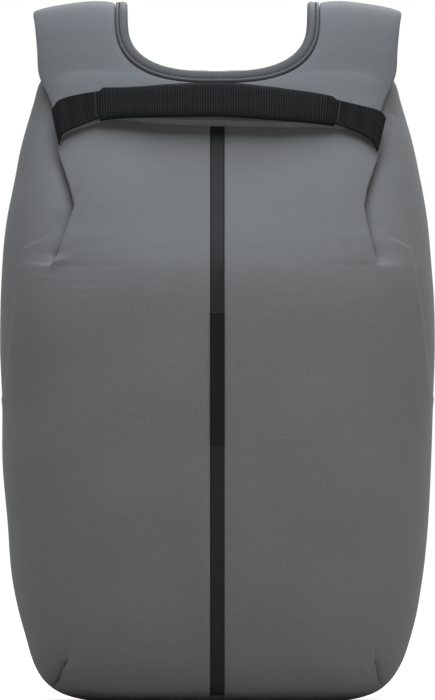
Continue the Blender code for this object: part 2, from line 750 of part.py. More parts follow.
def strap_sections(side):
    """Rings of a shoulder strap: from the wing's width and thickness at the seam to its own lower down."""
    run = np.linspace(SEAM_RUN + GAP, STRAP_RUN, STRAP_ROWS)
    share = np.linspace(0, 1, STRAP_ROWS)
    ease = np.clip(share / STRAP_NARROWS, 0, 1)
    ease = ease * ease * (3 - 2 * ease)
    wing_inner, wing_outer = NECK_WIDTH / 2, YOKE_SPREAD / 2
    inner = wing_inner * (1 - ease) + (STRAP_MIDDLE - STRAP_WIDTH / 2) * ease
    outer = wing_outer * (1 - ease) + (STRAP_MIDDLE + STRAP_WIDTH / 2) * ease
    swell = np.clip(share / STRAP_SWELLS, 0, 1)
    thick = YOKE_THICKNESS * (1 - swell) + STRAP_THICKNESS * swell
    rings = []
    for across, lift in zip(STRAP_RING["across"], STRAP_RING["lift"]):
        x = side * (inner * (1 - across) + outer * across)
        rings.append(lifted(x, run, LAYER_GAP + thick * lift))
    return np.stack(rings, axis=1)


def shoulder_strap(side, name):
    """A padded shoulder strap, from the seam behind the crest down to its adjuster."""
    piece = "shoulder_strap_" + name
    finish(piece, tube(piece, strap_sections(side)), BODY_CLOTH, 0.85)


def strap_foot(side):
    """The middle of the strap's lower face, and the way the strap runs there."""
    x = np.array(side * STRAP_MIDDLE)
    step = 0.002
    foot = lifted(x, np.array(STRAP_RUN), np.array(LAYER_GAP + STRAP_THICKNESS / 2))
    heading = seat(x, np.array(STRAP_RUN + step)) - seat(x, np.array(STRAP_RUN - step))
    return foot, heading / np.linalg.norm(heading)


def adjuster(side, name):
    """The plain buckle at the strap's lower end, a block with rounded edges in line with the strap."""
    piece = "adjuster_" + name
    foot, heading = strap_foot(side)
    shape = bmesh.new()
    bmesh.ops.create_cube(shape, size=1.0)
    bmesh.ops.scale(shape, vec=(ADJUSTER_WIDTH, ADJUSTER_THICKNESS, ADJUSTER_HEIGHT), verts=shape.verts)
    round_off = ADJUSTER_ROUNDING * ADJUSTER_THICKNESS
    bmesh.ops.bevel(shape, geom=shape.edges, offset=round_off, segments=2, profile=0.5, affect="EDGES")
    mesh = bpy.data.meshes.new(piece)
    shape.to_mesh(mesh)
    shape.free()
    block = finish(piece, mesh, BUCKLE_PLASTIC, 0.5)
    block.location = foot + heading * (GAP + ADJUSTER_HEIGHT / 2)
    block.rotation_euler = (np.arctan2(heading[1], -heading[2]), 0, 0)


def anchor_middle():
    """How far the anchors stand from the middle of the bag."""
    return float(panel_half(ANCHOR_BOTTOM + ANCHOR_HEIGHT / 2)) - ANCHOR_INSET


def anchor(side, name):
    """The tab that holds the lower webbing, sewn on the back panel's corner."""
    piece = "webbing_anchor_" + name
    middle = side * anchor_middle()
    x, z = np.meshgrid(
        middle + (STRAP_WEBBING_WIDTH / 2 + ANCHOR_OVERHANG) * np.linspace(-1, 1, 4),
        np.linspace(ANCHOR_BOTTOM, ANCHOR_BOTTOM + ANCHOR_HEIGHT, 4),
    )
    y = panel_back(x, z) + GAP
    inner = np.stack([x, y, z], axis=2)
    outer = np.stack([x, y + ANCHOR_THICKNESS, z], axis=2)
    finish(piece, slab(piece, outer, inner), SLEEVE_WEBBING, 0.8)


def strap_webbing(side, name):
    """The lower webbing, from the adjuster down to its anchor with a little slack."""
    piece = "strap_webbing_" + name
    strap_end, heading = strap_foot(side)
    top = strap_end + heading * (ADJUSTER_HEIGHT + 2 * GAP)
    anchor_top = ANCHOR_BOTTOM + ANCHOR_HEIGHT + GAP
    middle = anchor_middle()
    anchor_y = float(panel_back(np.array(middle), np.array(anchor_top))) + GAP + ANCHOR_THICKNESS / 2
    foot = np.array([side * middle, anchor_y, anchor_top])
    run = top - foot
    points = [foot, foot + run * SLACK_LOW, foot + run * SLACK_HIGH, top - heading * GAP, top]
    path = through(points, 14)
    half_width = np.array([STRAP_WEBBING_WIDTH / 2, 0, 0])
    heading = np.gradient(path, axis=0)
    square = np.cross(heading, [1.0, 0, 0])
    square = square / np.linalg.norm(square, axis=1, keepdims=True) * WEBBING_THICKNESS / 2
    front = np.stack([path - half_width + square, path + half_width + square], axis=1)
    back = np.stack([path - half_width - square, path + half_width - square], axis=1)
    finish(piece, slab(piece, front, back), BLACK_WEBBING, 0.8)


def main():
    for piece in list(bpy.data.objects):
        bpy.data.objects.remove(piece, do_unlink=True)
    bag = bpy.data.objects.new("bag", None)
    bpy.context.scene.collection.objects.link(bag)
    bag.location = (0, (FRONT_FACE - BACK_FACE) / 2, 0)
    main_shell()
    back_panel()
    centre_strip()
    label_tab()
    yoke()
    neck_binding()
    handle_webbing()
    handle_grip()
    for side, name in ((-1, "left"), (1, "right")):
        shoulder_strap(side, name)
        adjuster(side, name)
        strap_webbing(side, name)
        anchor(side, name)


main()
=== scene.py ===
"""A soft grey backpack with a carrying handle, dressed over its fixed frame.

Lengths are in metres. The front of the bag faces -Y. In the bag's own frame depth grows forward from the back
opening, and every piece is placed in the world only when its mesh is made.
"""

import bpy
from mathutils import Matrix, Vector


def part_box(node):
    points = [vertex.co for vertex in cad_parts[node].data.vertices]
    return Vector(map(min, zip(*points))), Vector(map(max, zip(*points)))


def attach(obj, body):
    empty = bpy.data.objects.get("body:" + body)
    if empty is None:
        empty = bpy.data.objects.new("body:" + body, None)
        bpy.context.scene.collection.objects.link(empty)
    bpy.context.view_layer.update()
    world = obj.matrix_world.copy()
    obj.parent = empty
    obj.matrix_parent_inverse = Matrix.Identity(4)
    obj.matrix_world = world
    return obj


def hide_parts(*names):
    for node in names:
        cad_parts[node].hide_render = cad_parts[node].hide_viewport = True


bl_info = {
    "name": "Grey Backpack",
    "version": (1, 0, 0),
    "blender": (4, 5, 0),
    "location": "View3D > Sidebar > Backpack",
    "description": "Makes a padded cloth backpack, its handle, straps and studio",
    "category": "Add Mesh",
}

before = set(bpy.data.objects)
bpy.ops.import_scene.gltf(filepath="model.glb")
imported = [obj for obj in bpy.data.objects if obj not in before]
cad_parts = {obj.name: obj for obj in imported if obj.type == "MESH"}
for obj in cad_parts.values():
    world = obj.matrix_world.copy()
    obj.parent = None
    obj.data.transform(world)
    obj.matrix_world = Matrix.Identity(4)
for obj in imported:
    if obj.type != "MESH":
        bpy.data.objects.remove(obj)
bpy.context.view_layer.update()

import bpy
import numpy as np

SHELL_LOW, SHELL_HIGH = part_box("main_shell")

# The padded body: its place and size from the frame, its wall, its sides, and where folds fade at the base
BACK_PLANE = SHELL_HIGH[1]
BODY_WIDTH = SHELL_HIGH[0] - SHELL_LOW[0]
BODY_HEIGHT = SHELL_HIGH[2]
BODY_DEPTH = BACK_PLANE - SHELL_LOW[1]
SHELL_WALL = 0.004
SIDE_SHARE = 0.30
SIDE_TUCK = 0.045
CALM_BASE = 0.004

# The body's columns in its back bow, its side and its panel. The inner wall takes one in every nine
BOW_COLUMNS = 8
SIDE_COLUMNS = 64
PANEL_COLUMNS = 56
INNER_EVERY = 9

# The folds between the front panel and the sides: the side's two falls, the panel's turn and its swell
FOLD_DEPTH = 0.009
FOLD_REACH = 0.013
BROAD_FALL = 0.75
STEEP_FALL = 0.45
STEEP_REACH = 0.25 * FOLD_REACH
PANEL_TURN = 1.2
PUFF_REACH = 0.012
LIP_REACH = 0.006

# The side flap's edge, from where it starts to where it ends up the bag
FLAP_STARTS = (0.200, 0.215)
FLAP_ENDS = (0.316, 0.330)
FLAP_EDGE = 0.001
FLAP_FADE = 0.03

# Faint ripples in front of the flap, and slow waves all over the cloth
RIPPLE_MIDDLE = 0.286
RIPPLE_REACH = 0.018
RIPPLE_RISE = 0.00005
RIPPLE_PITCH = 0.0065
RIPPLE_LEAN = 9
RIPPLE_INNER = (0.35, 0.55)
RIPPLE_OUTER = (0.86, 0.95)
WAVE_SEED = 11
WAVE_COUNT = 9
WAVE_PITCH = (0.045, 0.13)
WAVES_START = (0.006, 0.03)
WAVES_END = (0.36, 0.39)
WAVES_INNER = (0.04, 0.15)

# The strip, the label on it, and the dip of the cloth beside them
STRIP_WIDTH = 0.0095
STRIP_THICKNESS = 0.0012
STRIP_LOW = 0.011
STRIP_HIGH = 0.930
STRIP_ROUND = 0.0010
LABEL_LENGTH = 0.091
LABEL_MIDDLE = 0.2225
LABEL_THICKNESS = 0.0008
LABEL_ROUND = 0.0007
CHANNEL_DIP = 0.0006
CHANNEL_REACH = 0.0011

# The yoke, its neck and its wings
YOKE_RISE = 0.0483
YOKE_TOP = BODY_HEIGHT + YOKE_RISE
YOKE_SPREAD = 0.256
YOKE_THICKNESS = 0.0045
WING_DROP = 0.0066
WING_TUCK = 0.010
YOKE_CROWN = 0.0016
SIDE_FALL = 0.34
NECK_WIDTH = 0.1244
NECK_SHOULDER = 0.0103
NECK_DEPTH = 0.0485
NECK_CORNER = YOKE_TOP - NECK_SHOULDER
NECK_HEIGHT = YOKE_TOP - NECK_DEPTH
NECK_SQUARENESS = 2.7
BINDING_WIDTH = 0.0083
BINDING_THICKNESS = 0.0056
SEAM_BEHIND_FOLD = 0.046
SEAM_TUCK = 0.0008
SEAT_START = 0.84
RISE_START = 0.91
LEVEL_CREST = 0.66
FALL_POWER = 2.6
SHOULDER_SHARE = 0.977
TURN_BACK = 0.22
CROWN_POWER = 6
NECK_SIDE_ROUND = 0.0007
SEAM_ROUND = 0.0016
STITCH_LINE = 0.70
STITCH_LIFT = 0.87
NECK_THREAD = 0.00055
WING_ROWS = 44
NECK_ROWS = 221

# The handle's webbing: its ends dip into the cloth and its woven edges are a little thicker
HANDLE_SPAN = 0.2336
WEBBING_THICKNESS = 0.0016
FINGER_GAP = 0.0105
WEBBING_ENDS = (-0.96, 0.974)
BAND_SHARE = 0.94
BAND_ROWS = 900
BAND_COLUMNS = 25
END_DIP = 0.0016
DIP_START = 0.965
WOVEN_RISE = 0.0002
WOVEN_AT = 0.92
WOVEN_REACH = 0.05

# The handle's sleeve, whose upper half, flare and taper are shares of the webbing's half-width, and the
# zigzag seams outside its ends
GRIP_LENGTH = 0.163
GRIP_THICKNESS = 0.0045
SLEEVE_ROWS = 620
SLEEVE_SIDES = 44
SLEEVE_AHEAD = 0.0016
SLEEVE_DROP = 0.0018
SLEEVE_UPPER = 1.20
SLEEVE_FLARE = 0.36
SLEEVE_TAPER = 0.06
CORNER_LOSS = 0.24
CORNER_REACH = 0.0042
PINCH_REACH = 0.003
ZIGZAG_SWING = 0.0009
ZIGZAG_CORNERS = 20
ZIGZAG_LIFT = 0.00025
ZIGZAG_PAST_SLEEVE = 0.016
HANDLE_THREAD = 0.00045

# The back panel: its pads, its rounded rim and the sewn line inside it
PANEL_THICKNESS = 0.012
PANEL_EDGE = 0.005
PANEL_INSET = 0.004
PANEL_ROUND = 0.004
PANEL_SEAM = 0.0012
PANEL_SEAM_AT = 0.0075
VALLEY_SINK = 0.55
VALLEY_REACH = 0.10

# The shoulder straps, with the flat edge and the groove beside the padding in shares of the half-width
STRAP_REACH = 0.060
STRAP_WIDTH = 0.050
STRAP_THICKNESS = 0.012
STRAP_MIDDLE = 0.086
STRAP_END = 0.175
STRAP_NARROWS = 0.45
STRAP_SWELLS = 0.12
STRAP_FLAT_FROM = 0.72
STRAP_FLAT_TO = 0.97
GROOVE_SINK = 0.10
GROOVE_AT = 0.86
GROOVE_REACH = 0.03
STRAP_END_ROUND = 0.02
STITCH_ROWS = (0.07, 0.93)
STRAP_THREAD = 0.0003

# The adjusters, the lower webbing, its tabs and their sewn boxes
ADJUSTER_HEIGHT = 0.024
STRAP_WEBBING_WIDTH = 0.025
ANCHOR_INSET = 0.026
ANCHOR_BOTTOM = 0.028
ANCHOR_HEIGHT = 0.026
ANCHOR_THICKNESS = 0.003
ANCHOR_OVERHANG = 0.0015
ANCHOR_ROUND = 0.001
SLACK_LOW = (0.2, 0.08, 0.25)
SLACK_HIGH = (0.6, 0.5, 0.62)
BOX_HALF = 0.009
BOX_INSET = 0.004
BOX_PITCH = 0.0022
BOX_THREAD = 0.00028

# What keeps pieces and layers apart, and the least height that is left at a turned edge
GAP = 0.0003
LAYER_GAP = 0.0007
LEAST_EDGE = 0.02
CREST = YOKE_TOP - max(YOKE_THICKNESS, BINDING_THICKNESS) - LAYER_GAP
CHANNEL_WIDTH = STRIP_WIDTH + 2 * GAP
CHANNEL_DEPTH = STRIP_THICKNESS + GAP

# The studio: each light's place, width and height, power and colour, then the floor and the camera
COOL = (0.86, 0.93, 1.0)
WARM = (1.0, 0.97, 0.93)
WHITE = (1.0, 1.0, 1.0)
LIGHTS = (
    ("key_light", (0.0, -0.70, 2.95), (2.8, 2.8), "key_power", COOL),
    ("front_fill", (0.0, -3.0, 0.45), (4.5, 1.6), "front_power", WARM),
    ("right_fill", (2.4, -1.2, 0.5), (1.2, 1.2), "fill_power", WARM),
    ("back_light", (0.4, 2.2, 2.2), (1.8, 1.4), "back_power", WHITE),
)
FLOOR_RADIUS = 14.0
FLOOR_SIDES = 96
FLOOR_DROP = 0.0004
# The floor's painted glow: its strength near the bag, rising to full white between these distances from the
# middle
GLOW_NEAR = 0.72
GLOW_FROM = 0.5
GLOW_TO = 2.5
SENSOR_WIDTH = 36.0
CAMERA_ASIDE = 0.0001


def table(columns, rows):
    """Rows of numbers as one array for each named column."""
    return dict(zip(columns.split(), np.array(rows, dtype=float).T))


# Body sections, as shares of the body's height, half-width and depth
BODY = table(
    "height half_width depth squareness",
    [
        (0.000, 0.600, 0.690, 3.6),
        (0.005, 0.670, 0.745, 3.5),
        (0.011, 0.722, 0.785, 3.4),
        (0.020, 0.765, 0.822, 3.3),
        (0.036, 0.810, 0.853, 3.2),
        (0.062, 0.852, 0.884, 3.1),
        (0.095, 0.884, 0.909, 3.0),
        (0.145, 0.922, 0.941, 2.9),
        (0.230, 0.958, 0.972, 2.8),
        (0.340, 0.982, 0.997, 2.8),
        (0.460, 0.994, 1.000, 2.8),
        (0.560, 1.000, 0.990, 2.8),
        (0.636, 0.998, 0.973, 2.8),
        (0.680, 0.991, 0.949, 2.8),
        (0.720, 0.983, 0.902, 2.8),
        (0.763, 0.971, 0.833, 2.8),
        (0.825, 0.941, 0.733, 2.8),
        (0.890, 0.898, 0.625, 2.8),
        (0.954, 0.845, 0.512, 2.7),
        (0.977, 0.827, 0.470, 2.7),
        (0.993, 0.795, 0.430, 2.6),
        (1.000, 0.745, 0.385, 2.6),
    ],
)

# The crease lines: height share, place as a share of the half-width on each side, depth share
FOLDS = table(
    "height left right depth",
    [
        (0.000, 0.940, 0.940, 0.10),
        (0.019, 0.965, 0.965, 0.55),
        (0.034, 0.900, 0.915, 0.75),
        (0.053, 0.840, 0.870, 0.65),
        (0.070, 0.795, 0.845, 0.12),
        (0.100, 0.770, 0.810, 0.00),
        (0.660, 0.790, 0.747, 0.00),
        (0.688, 0.772, 0.742, 0.00),
        (0.697, 0.762, 0.738, 0.60),
        (0.712, 0.745, 0.729, 1.00),
        (0.730, 0.727, 0.718, 1.00),
        (0.758, 0.705, 0.707, 1.00),
        (0.774, 0.692, 0.702, 1.00),
        (0.783, 0.684, 0.700, 1.05),
        (0.792, 0.692, 0.708, 1.05),
        (0.808, 0.708, 0.722, 1.05),
        (0.840, 0.755, 0.768, 1.05),
        (0.873, 0.805, 0.816, 1.10),
        (0.905, 0.835, 0.838, 1.00),
        (1.000, 0.870, 0.870, 0.30),
    ],
)

# Ridges and dents of the cloth in the front view: middle, turn in degrees, half-length, half-width, rise
PUCKERS = table(
    "x z turn length width rise",
    [
        (-0.1152, 0.3046, -55, 0.0060, 0.0026, 0.0010),
        (-0.1088, 0.3025, 19, 0.0065, 0.0026, 0.0009),
        (-0.1100, 0.3085, 10, 0.0070, 0.0035, -0.0012),
        (-0.0974, 0.3468, 75, 0.0080, 0.0018, -0.0008),
        (-0.0850, 0.3350, 70, 0.0240, 0.0120, 0.0010),
        (-0.1000, 0.0220, 55, 0.0080, 0.0028, 0.0008),
        (0.1100, 0.3000, -70, 0.0070, 0.0030, 0.0008),
        (0.1055, 0.3040, -70, 0.0070, 0.0030, -0.0007),
        (0.0880, 0.3350, -70, 0.0240, 0.0120, 0.0010),
        (0.1210, 0.4070, -45, 0.0055, 0.0016, -0.0009),
        (0.1120, 0.0294, 36, 0.0050, 0.0014, -0.0007),
        (0.1010, 0.0220, -60, 0.0080, 0.0028, 0.0007),
    ],
)

# The line of the side flap: height, and its place as a share of the half-width
FLAP = table(
    "height out",
    [
        (0.2050, 1.020),
        (0.2110, 0.989),
        (0.2280, 0.965),
        (0.2760, 0.927),
        (0.3120, 0.904),
        (0.3210, 0.800),
    ],
)

# The yoke's seat from the body's shoulder over the crest: a share of the rise, and of the shoulder's depth
YOKE_PROFILE = table(
    "rise depth",
    [
        (0.186, 0.920),
        (0.372, 0.850),
        (0.558, 0.770),
        (0.706, 0.700),
        (0.836, 0.613),
        (0.930, 0.515),
        (0.985, 0.393),
        (1.000, 0.298),
        (0.985, 0.190),
        (0.910, 0.060),
        (0.780, -0.030),
    ],
)

# The straps' line behind the bag: a share of the yoke's height, and of the straps' reach
STRAP_PROFILE = table(
    "height reach",
    [
        (0.941, 0.13),
        (0.910, 0.24),
        (0.869, 0.36),
        (0.817, 0.50),
        (0.755, 0.68),
        (0.693, 0.86),
        (0.631, 0.97),
        (0.569, 1.00),
        (0.507, 0.95),
        (0.445, 0.82),
        (0.393, 0.68),
        (0.350, 0.57),
        (0.300, 0.46),
    ],
)

# The yoke's side edges: a share of its height, and of its half-spread
YOKE_EDGE = table(
    "height out",
    [
        (0.790, 0.850),
        (0.807, 0.857),
        (0.828, 0.874),
        (0.850, 0.897),
        (0.870, 0.930),
        (0.890, 0.964),
        (0.935, 0.981),
        (0.981, 1.000),
    ],
)

# The yoke's hem: a share of the way out to its lower corner, and of the body's height
HEM = table(
    "along height",
    [
        (-1.00, 0.8955),
        (-0.96, 0.9035),
        (-0.88, 0.9115),
        (-0.70, 0.9245),
        (-0.35, 0.919),
        (0.00, 0.916),
        (0.40, 0.914),
        (0.75, 0.913),
        (0.88, 0.910),
        (0.96, 0.900),
        (1.00, 0.888),
    ],
)

# The rolled edge round the neck: a share across it from the neck to its seam, and a share of its thickness
NECK_RING = table(
    "across lift",
    [
        (0.00, 0.40),
        (0.02, 0.62),
        (0.08, 0.82),
        (0.18, 0.95),
        (0.32, 1.00),
        (0.48, 0.99),
        (0.60, 0.94),
        (0.66, 0.89),
        (0.70, 0.86),
        (0.74, 0.89),
        (0.80, 0.95),
        (0.88, 0.97),
        (0.95, 0.90),
        (0.99, 0.72),
        (1.02, 0.42),
        (1.05, 0.00),
        (0.80, 0.00),
        (0.50, 0.00),
        (0.20, 0.00),
        (0.05, 0.05),
        (0.00, 0.20),
    ],
)

# The handle's upper and lower edge as shares of its half-span and the body's height, and a share of its bow
HANDLE = table(
    "upper_x upper_z lower_x lower_z lift",
    [
        (-0.984, 0.940, -0.938, 0.881, 0.00),
        (-0.950, 0.952, -0.925, 0.895, 0.00),
        (-0.843, 0.961, -0.816, 0.910, 0.00),
        (-0.700, 0.967, -0.690, 0.922, 0.06),
        (-0.560, 0.971, -0.560, 0.927, 0.35),
        (-0.280, 0.978, -0.280, 0.929, 0.85),
        (0.000, 0.981, 0.000, 0.930, 1.00),
        (0.280, 0.975, 0.280, 0.925, 0.85),
        (0.560, 0.963, 0.560, 0.919, 0.35),
        (0.700, 0.953, 0.680, 0.914, 0.06),
        (0.843, 0.944, 0.824, 0.901, 0.00),
        (0.961, 0.936, 0.905, 0.890, 0.00),
        (1.000, 0.927, 0.950, 0.871, 0.00),
    ],
)


def length_property(name, description, default, least=0.0):
    """A length that a user can change."""
    return bpy.props.FloatProperty(
        name=name, description=description, default=default, min=least, unit="LENGTH")


def power_property(name, description, default):
    """A light's power that a user can change."""
    return bpy.props.FloatProperty(
        name=name, description=description, default=default, min=0.0, unit="POWER")


def colour_property(name, description, default):
    """A colour that a user can change."""
    return bpy.props.FloatVectorProperty(
        name=name, description=description, default=default, min=0.0, max=1.0, size=3, subtype="COLOR")


class BackpackSizes(bpy.types.PropertyGroup):
    """Fine sizes of the cloth and its sewing."""

    crease_roll: length_property("Crease Roll", "Radius of the panel's turn into its crease", 0.0030, 0.0005)
    crease_lip: length_property("Crease Lip", "How far the front panel leans out over its crease", 0.0018)
    crease_puff: length_property("Crease Puff", "How far the padding swells beside a crease", 0.0012)
    flap_step: length_property("Flap Step", "Height of the side flap's edge", 0.0009)
    unevenness: length_property("Unevenness", "How far the hand-laid cloth wanders from its form", 0.0006)
    edge_round: length_property("Edge Rounding", "Radius of the yoke's hem", 0.0016, 0.0005)
    rib_pitch: length_property("Rib Pitch", "From rib to rib along the webbing", 0.00175, 0.0005)
    rib_height: length_property("Rib Height", "How far a rib stands out", 0.00022)
    stitch_pitch: length_property("Stitch Pitch", "From stitch to stitch at the neck", 0.0021, 0.0008)
    strap_stitch_pitch: length_property("Strap Stitch Pitch", "Along a strap's seam", 0.0036, 0.0008)


class BackpackColours(bpy.types.PropertyGroup):
    """Colours of the cloths, webbing and plastic."""

    body: colour_property("Body Cloth", "Grey coated cloth of the body", (0.1535, 0.1535, 0.1525))
    yoke: colour_property("Yoke Cloth", "Cloth of the yoke", (0.136, 0.140, 0.146))
    # The neck edge's colour is darker than the yoke's cloth; part of that is painted shade of the edge
    # rolling away from the light.
    binding: colour_property("Neck Edge", "Rolled edge round the neck", (0.088, 0.090, 0.092))
    strap: colour_property("Strap Cloth", "Cloth of the shoulder straps", (0.150, 0.152, 0.154))
    mesh: colour_property("Back Mesh", "Spacer mesh of the back panel", (0.030, 0.031, 0.033))
    strip: colour_property("Strip", "Coated strip down the front", (0.0205, 0.0213, 0.0210))
    label: colour_property("Label", "Bare label on the strip", (0.0095, 0.0102, 0.0098))
    webbing: colour_property("Webbing", "Black ribbed webbing", (0.010, 0.0105, 0.0105))
    # The thread's near-black colour is partly painted shade: it darkens the stitches to stand for the
    # shadowed holes they sit in.
    thread: colour_property("Thread", "Sewing thread on cloth", (0.020, 0.021, 0.022))
    seam: colour_property("Black Thread", "Sewing thread on the webbing", (0.034, 0.036, 0.036))
    plastic: colour_property("Plastic", "Moulded buckles", (0.018, 0.018, 0.019))


class BackpackStudio(bpy.types.PropertyGroup):
    """The light and the camera."""

    key_power: power_property("Key Power", "Power of the large light above the front", 125.0)
    front_power: power_property("Front Power", "Power of the wide weak light in front", 14.0)
    fill_power: power_property("Fill Power", "Power of the weak light from the right", 7.0)
    back_power: power_property("Back Power", "Power of the light behind the bag", 60.0)
    ambient: bpy.props.FloatProperty(
        name="Ambient", description="Strength of the even light from all round", default=0.06, min=0.0)
    camera_distance: length_property("Camera Distance", "From the camera to the middle of the bag", 12.0)
    framed_height: length_property("Framed Height", "Height at the bag that fills the picture", 0.48384)


def cubic(values, slope, k, t, run):
    """Places on the cubic stretches from points k to k + 1, at shares t of their runs."""
    return (
        values[k] * (1 + 2 * t) * (1 - t) ** 2
        + values[k + 1] * (3 - 2 * t) * t**2
        + run * t * (1 - t) * (slope[k] * (1 - t) - slope[k + 1] * t)
    )


def smooth(xs, ys, at):
    """A curve through points that never swings past them: cubic steps with limited slopes."""
    at = np.clip(at, xs[0], xs[-1])
    run = np.diff(xs)
    rise = np.diff(ys) / run
    slope = np.zeros_like(ys)
    inner = rise[:-1] * rise[1:] > 0
    slope[1:-1][inner] = 2 / (1 / rise[:-1][inner] + 1 / rise[1:][inner])
    slope[0], slope[-1] = rise[0], rise[-1]
    k = np.clip(np.searchsorted(xs, at, side="right") - 1, 0, len(xs) - 2)
    return cubic(ys, slope, k, (at - xs[k]) / run[k], run[k])


def along(curve):
    """The distance along a curve's points, from its start."""
    return np.concatenate([[0], np.cumsum(np.linalg.norm(np.diff(curve, axis=0), axis=1))])


def through(points, count):
    """A smooth open curve through points, at evenly spaced places along its length."""
    points = np.asarray(points)
    reach = along(points)
    slope = np.gradient(points, reach, axis=0)
    at = np.linspace(0, reach[-1], 8 * count)
    k = np.clip(np.searchsorted(reach, at, side="right") - 1, 0, len(points) - 2)
    run = (reach[k + 1] - reach[k])[:, None]
    t = (at[:, None] - reach[k][:, None]) / run
    return spaced(cubic(points, slope, k, t, run), count)


def spaced(curve, count):
    """The same curve at evenly spaced places along its length."""
    length = along(curve)
    even = np.linspace(0, length[-1], count)
    return np.column_stack([np.interp(even, length, curve[:, i]) for i in range(curve.shape[1])])


def step(low, high, value):
    """0 below low, 1 above high, and a smooth S curve between: 3t^2 - 2t^3."""
    t = np.clip((value - low) / (high - low), 0, 1)
    return t * t * (3 - 2 * t)


def softened(values, spacing, reach):
    """Values averaged along their run with a bell curve as wide as reach."""
    count = int(3 * reach / spacing)
    bell = np.exp(-((np.arange(-count, count + 1) * spacing / reach) ** 2))
    padded = np.pad(values, count, mode="reflect", reflect_type="odd")
    return np.convolve(padded, bell / bell.sum(), mode="valid")


def unit(vectors):
    """Vectors brought to length 1."""
    return vectors / np.linalg.norm(vectors, axis=-1, keepdims=True)


def rounded(distance, radius, least=0.0):
    """The height of a quarter circle a distance in from its edge: sqrt(1 - (1 - distance / radius)^2)."""
    return np.sqrt(np.clip(1 - np.clip(1 - distance / radius, 0, 1) ** 2, least, 1))


def signed_power(values, power):
    """Values raised to a power, each with its own sign."""
    return np.sign(values) * np.abs(values) ** power


# The body's sizes every quarter of a millimetre, softened away from its base and its top
FINE = 0.00025
FINE_HEIGHTS = np.arange(0, BODY_HEIGHT + FINE, FINE)
SOFTENING = 0.005


def fine_size(column):
    """One column of the body's table along its height, softened where the form is long and calm."""
    share = FINE_HEIGHTS / BODY_HEIGHT
    raw = smooth(BODY["height"], BODY[column], share)
    calm = step(0.02, 0.07, share) * (1 - step(0.90, 0.96, share))
    return raw * (1 - calm) + softened(raw, FINE, SOFTENING) * calm


FINE_HALF = fine_size("half_width") * BODY_WIDTH / 2
FINE_DEPTH = fine_size("depth") * BODY_DEPTH
FINE_POWER = fine_size("squareness")


def body_size(height):
    """Half-width, depth and squareness of the body's section at a height."""
    return tuple(np.interp(height, FINE_HEIGHTS, column) for column in (FINE_HALF, FINE_DEPTH, FINE_POWER))


def body_front(x, height):
    """Depth of the body's front face at a place across it: a squared ellipse in front of the widest line."""
    half, depth, power = body_size(height)
    across = np.clip(np.abs(x) / half, 0, 1)
    return depth * (SIDE_SHARE + (1 - SIDE_SHARE) * (1 - across**power) ** (1 / power))


LINE_POINTS = 3000
LINE_SOFTENING = 0.003


def shoulder_line():
    """Depth and height of the yoke's seat: up the body's front, over the crest and down behind the bag."""
    shoulder = SHOULDER_SHARE * BODY_HEIGHT
    shoulder_depth = float(body_size(shoulder)[1])
    front = np.linspace(SEAT_START * BODY_HEIGHT, shoulder, 5)
    points = [(float(body_size(z)[1]), z) for z in front]
    over_z = shoulder + YOKE_PROFILE["rise"] * (CREST - shoulder)
    points += list(zip(YOKE_PROFILE["depth"] * shoulder_depth, over_z))
    points += list(zip(-STRAP_PROFILE["reach"] * STRAP_REACH, STRAP_PROFILE["height"] * YOKE_TOP))
    line = through(points, LINE_POINTS)
    spacing = along(line)[-1] / (len(line) - 1)
    return np.column_stack([softened(column, spacing, LINE_SOFTENING) for column in line.T])


SHOULDER = shoulder_line()
SHOULDER_RUN = along(SHOULDER)
CREST_AT = int(np.argmax(SHOULDER[:, 1]))
CREST_RUN = SHOULDER_RUN[CREST_AT]
SEAM_RUN = CREST_RUN + SEAM_BEHIND_FOLD
STRAP_RUN = float(np.interp(-STRAP_END, -SHOULDER[CREST_AT:, 1], SHOULDER_RUN[CREST_AT:]))


def run_at(height):
    """The distance along the shoulder line at which its front stretch has a height."""
    return np.interp(height, SHOULDER[: CREST_AT + 1, 1], SHOULDER_RUN[: CREST_AT + 1])


BODY_TOP_RUN = run_at(BODY_HEIGHT)
RISE_RUN = run_at(RISE_START * YOKE_TOP)
JOIN_BELOW = 0.006
JOIN_ABOVE = 0.004


def seat(x, run):
    """A point of the yoke's seat, from its place across the bag and along the shoulder line.

    The line falls back towards the sides and its crest drops there. Where the body stands further out, the
    seat is the body's own front, and that fades out round the height of the body's top.
    """
    depth = np.interp(run, SHOULDER_RUN, SHOULDER[:, 0])
    height = np.interp(run, SHOULDER_RUN, SHOULDER[:, 1])
    out = np.abs(x) / (YOKE_SPREAD / 2)
    ahead = np.maximum(depth + TURN_BACK * STRAP_REACH, 0)
    own = depth - ahead * SIDE_FALL * out**FALL_POWER
    rising = np.clip((run - RISE_RUN) / (CREST_RUN - RISE_RUN), 0, 1)
    fading = np.clip((run - SEAM_RUN) / (STRAP_RUN - SEAM_RUN) * 3, 0, 1)
    outer = np.clip((out - LEVEL_CREST) / (1 - LEVEL_CREST), 0, 1.1)
    drop = WING_DROP * outer**1.5 * rising * (1 - fading)
    on_body = body_front(x, np.minimum(height, BODY_HEIGHT))
    near = 1 - step(BODY_TOP_RUN - JOIN_BELOW, BODY_TOP_RUN + JOIN_ABOVE, run)
    above = np.maximum(on_body - own, 0) * near
    return np.stack([x + 0 * own, -(own + above), height - drop], axis=-1)


def lifted(x, run, lift):
    """A point at a distance from the seat, square to it."""
    small = 0.0015
    across = seat(x + small, run) - seat(x - small, run)
    up = seat(x, run + small) - seat(x, run - small)
    return seat(x, run) + unit(np.cross(across, up)) * np.asarray(lift)[..., None]


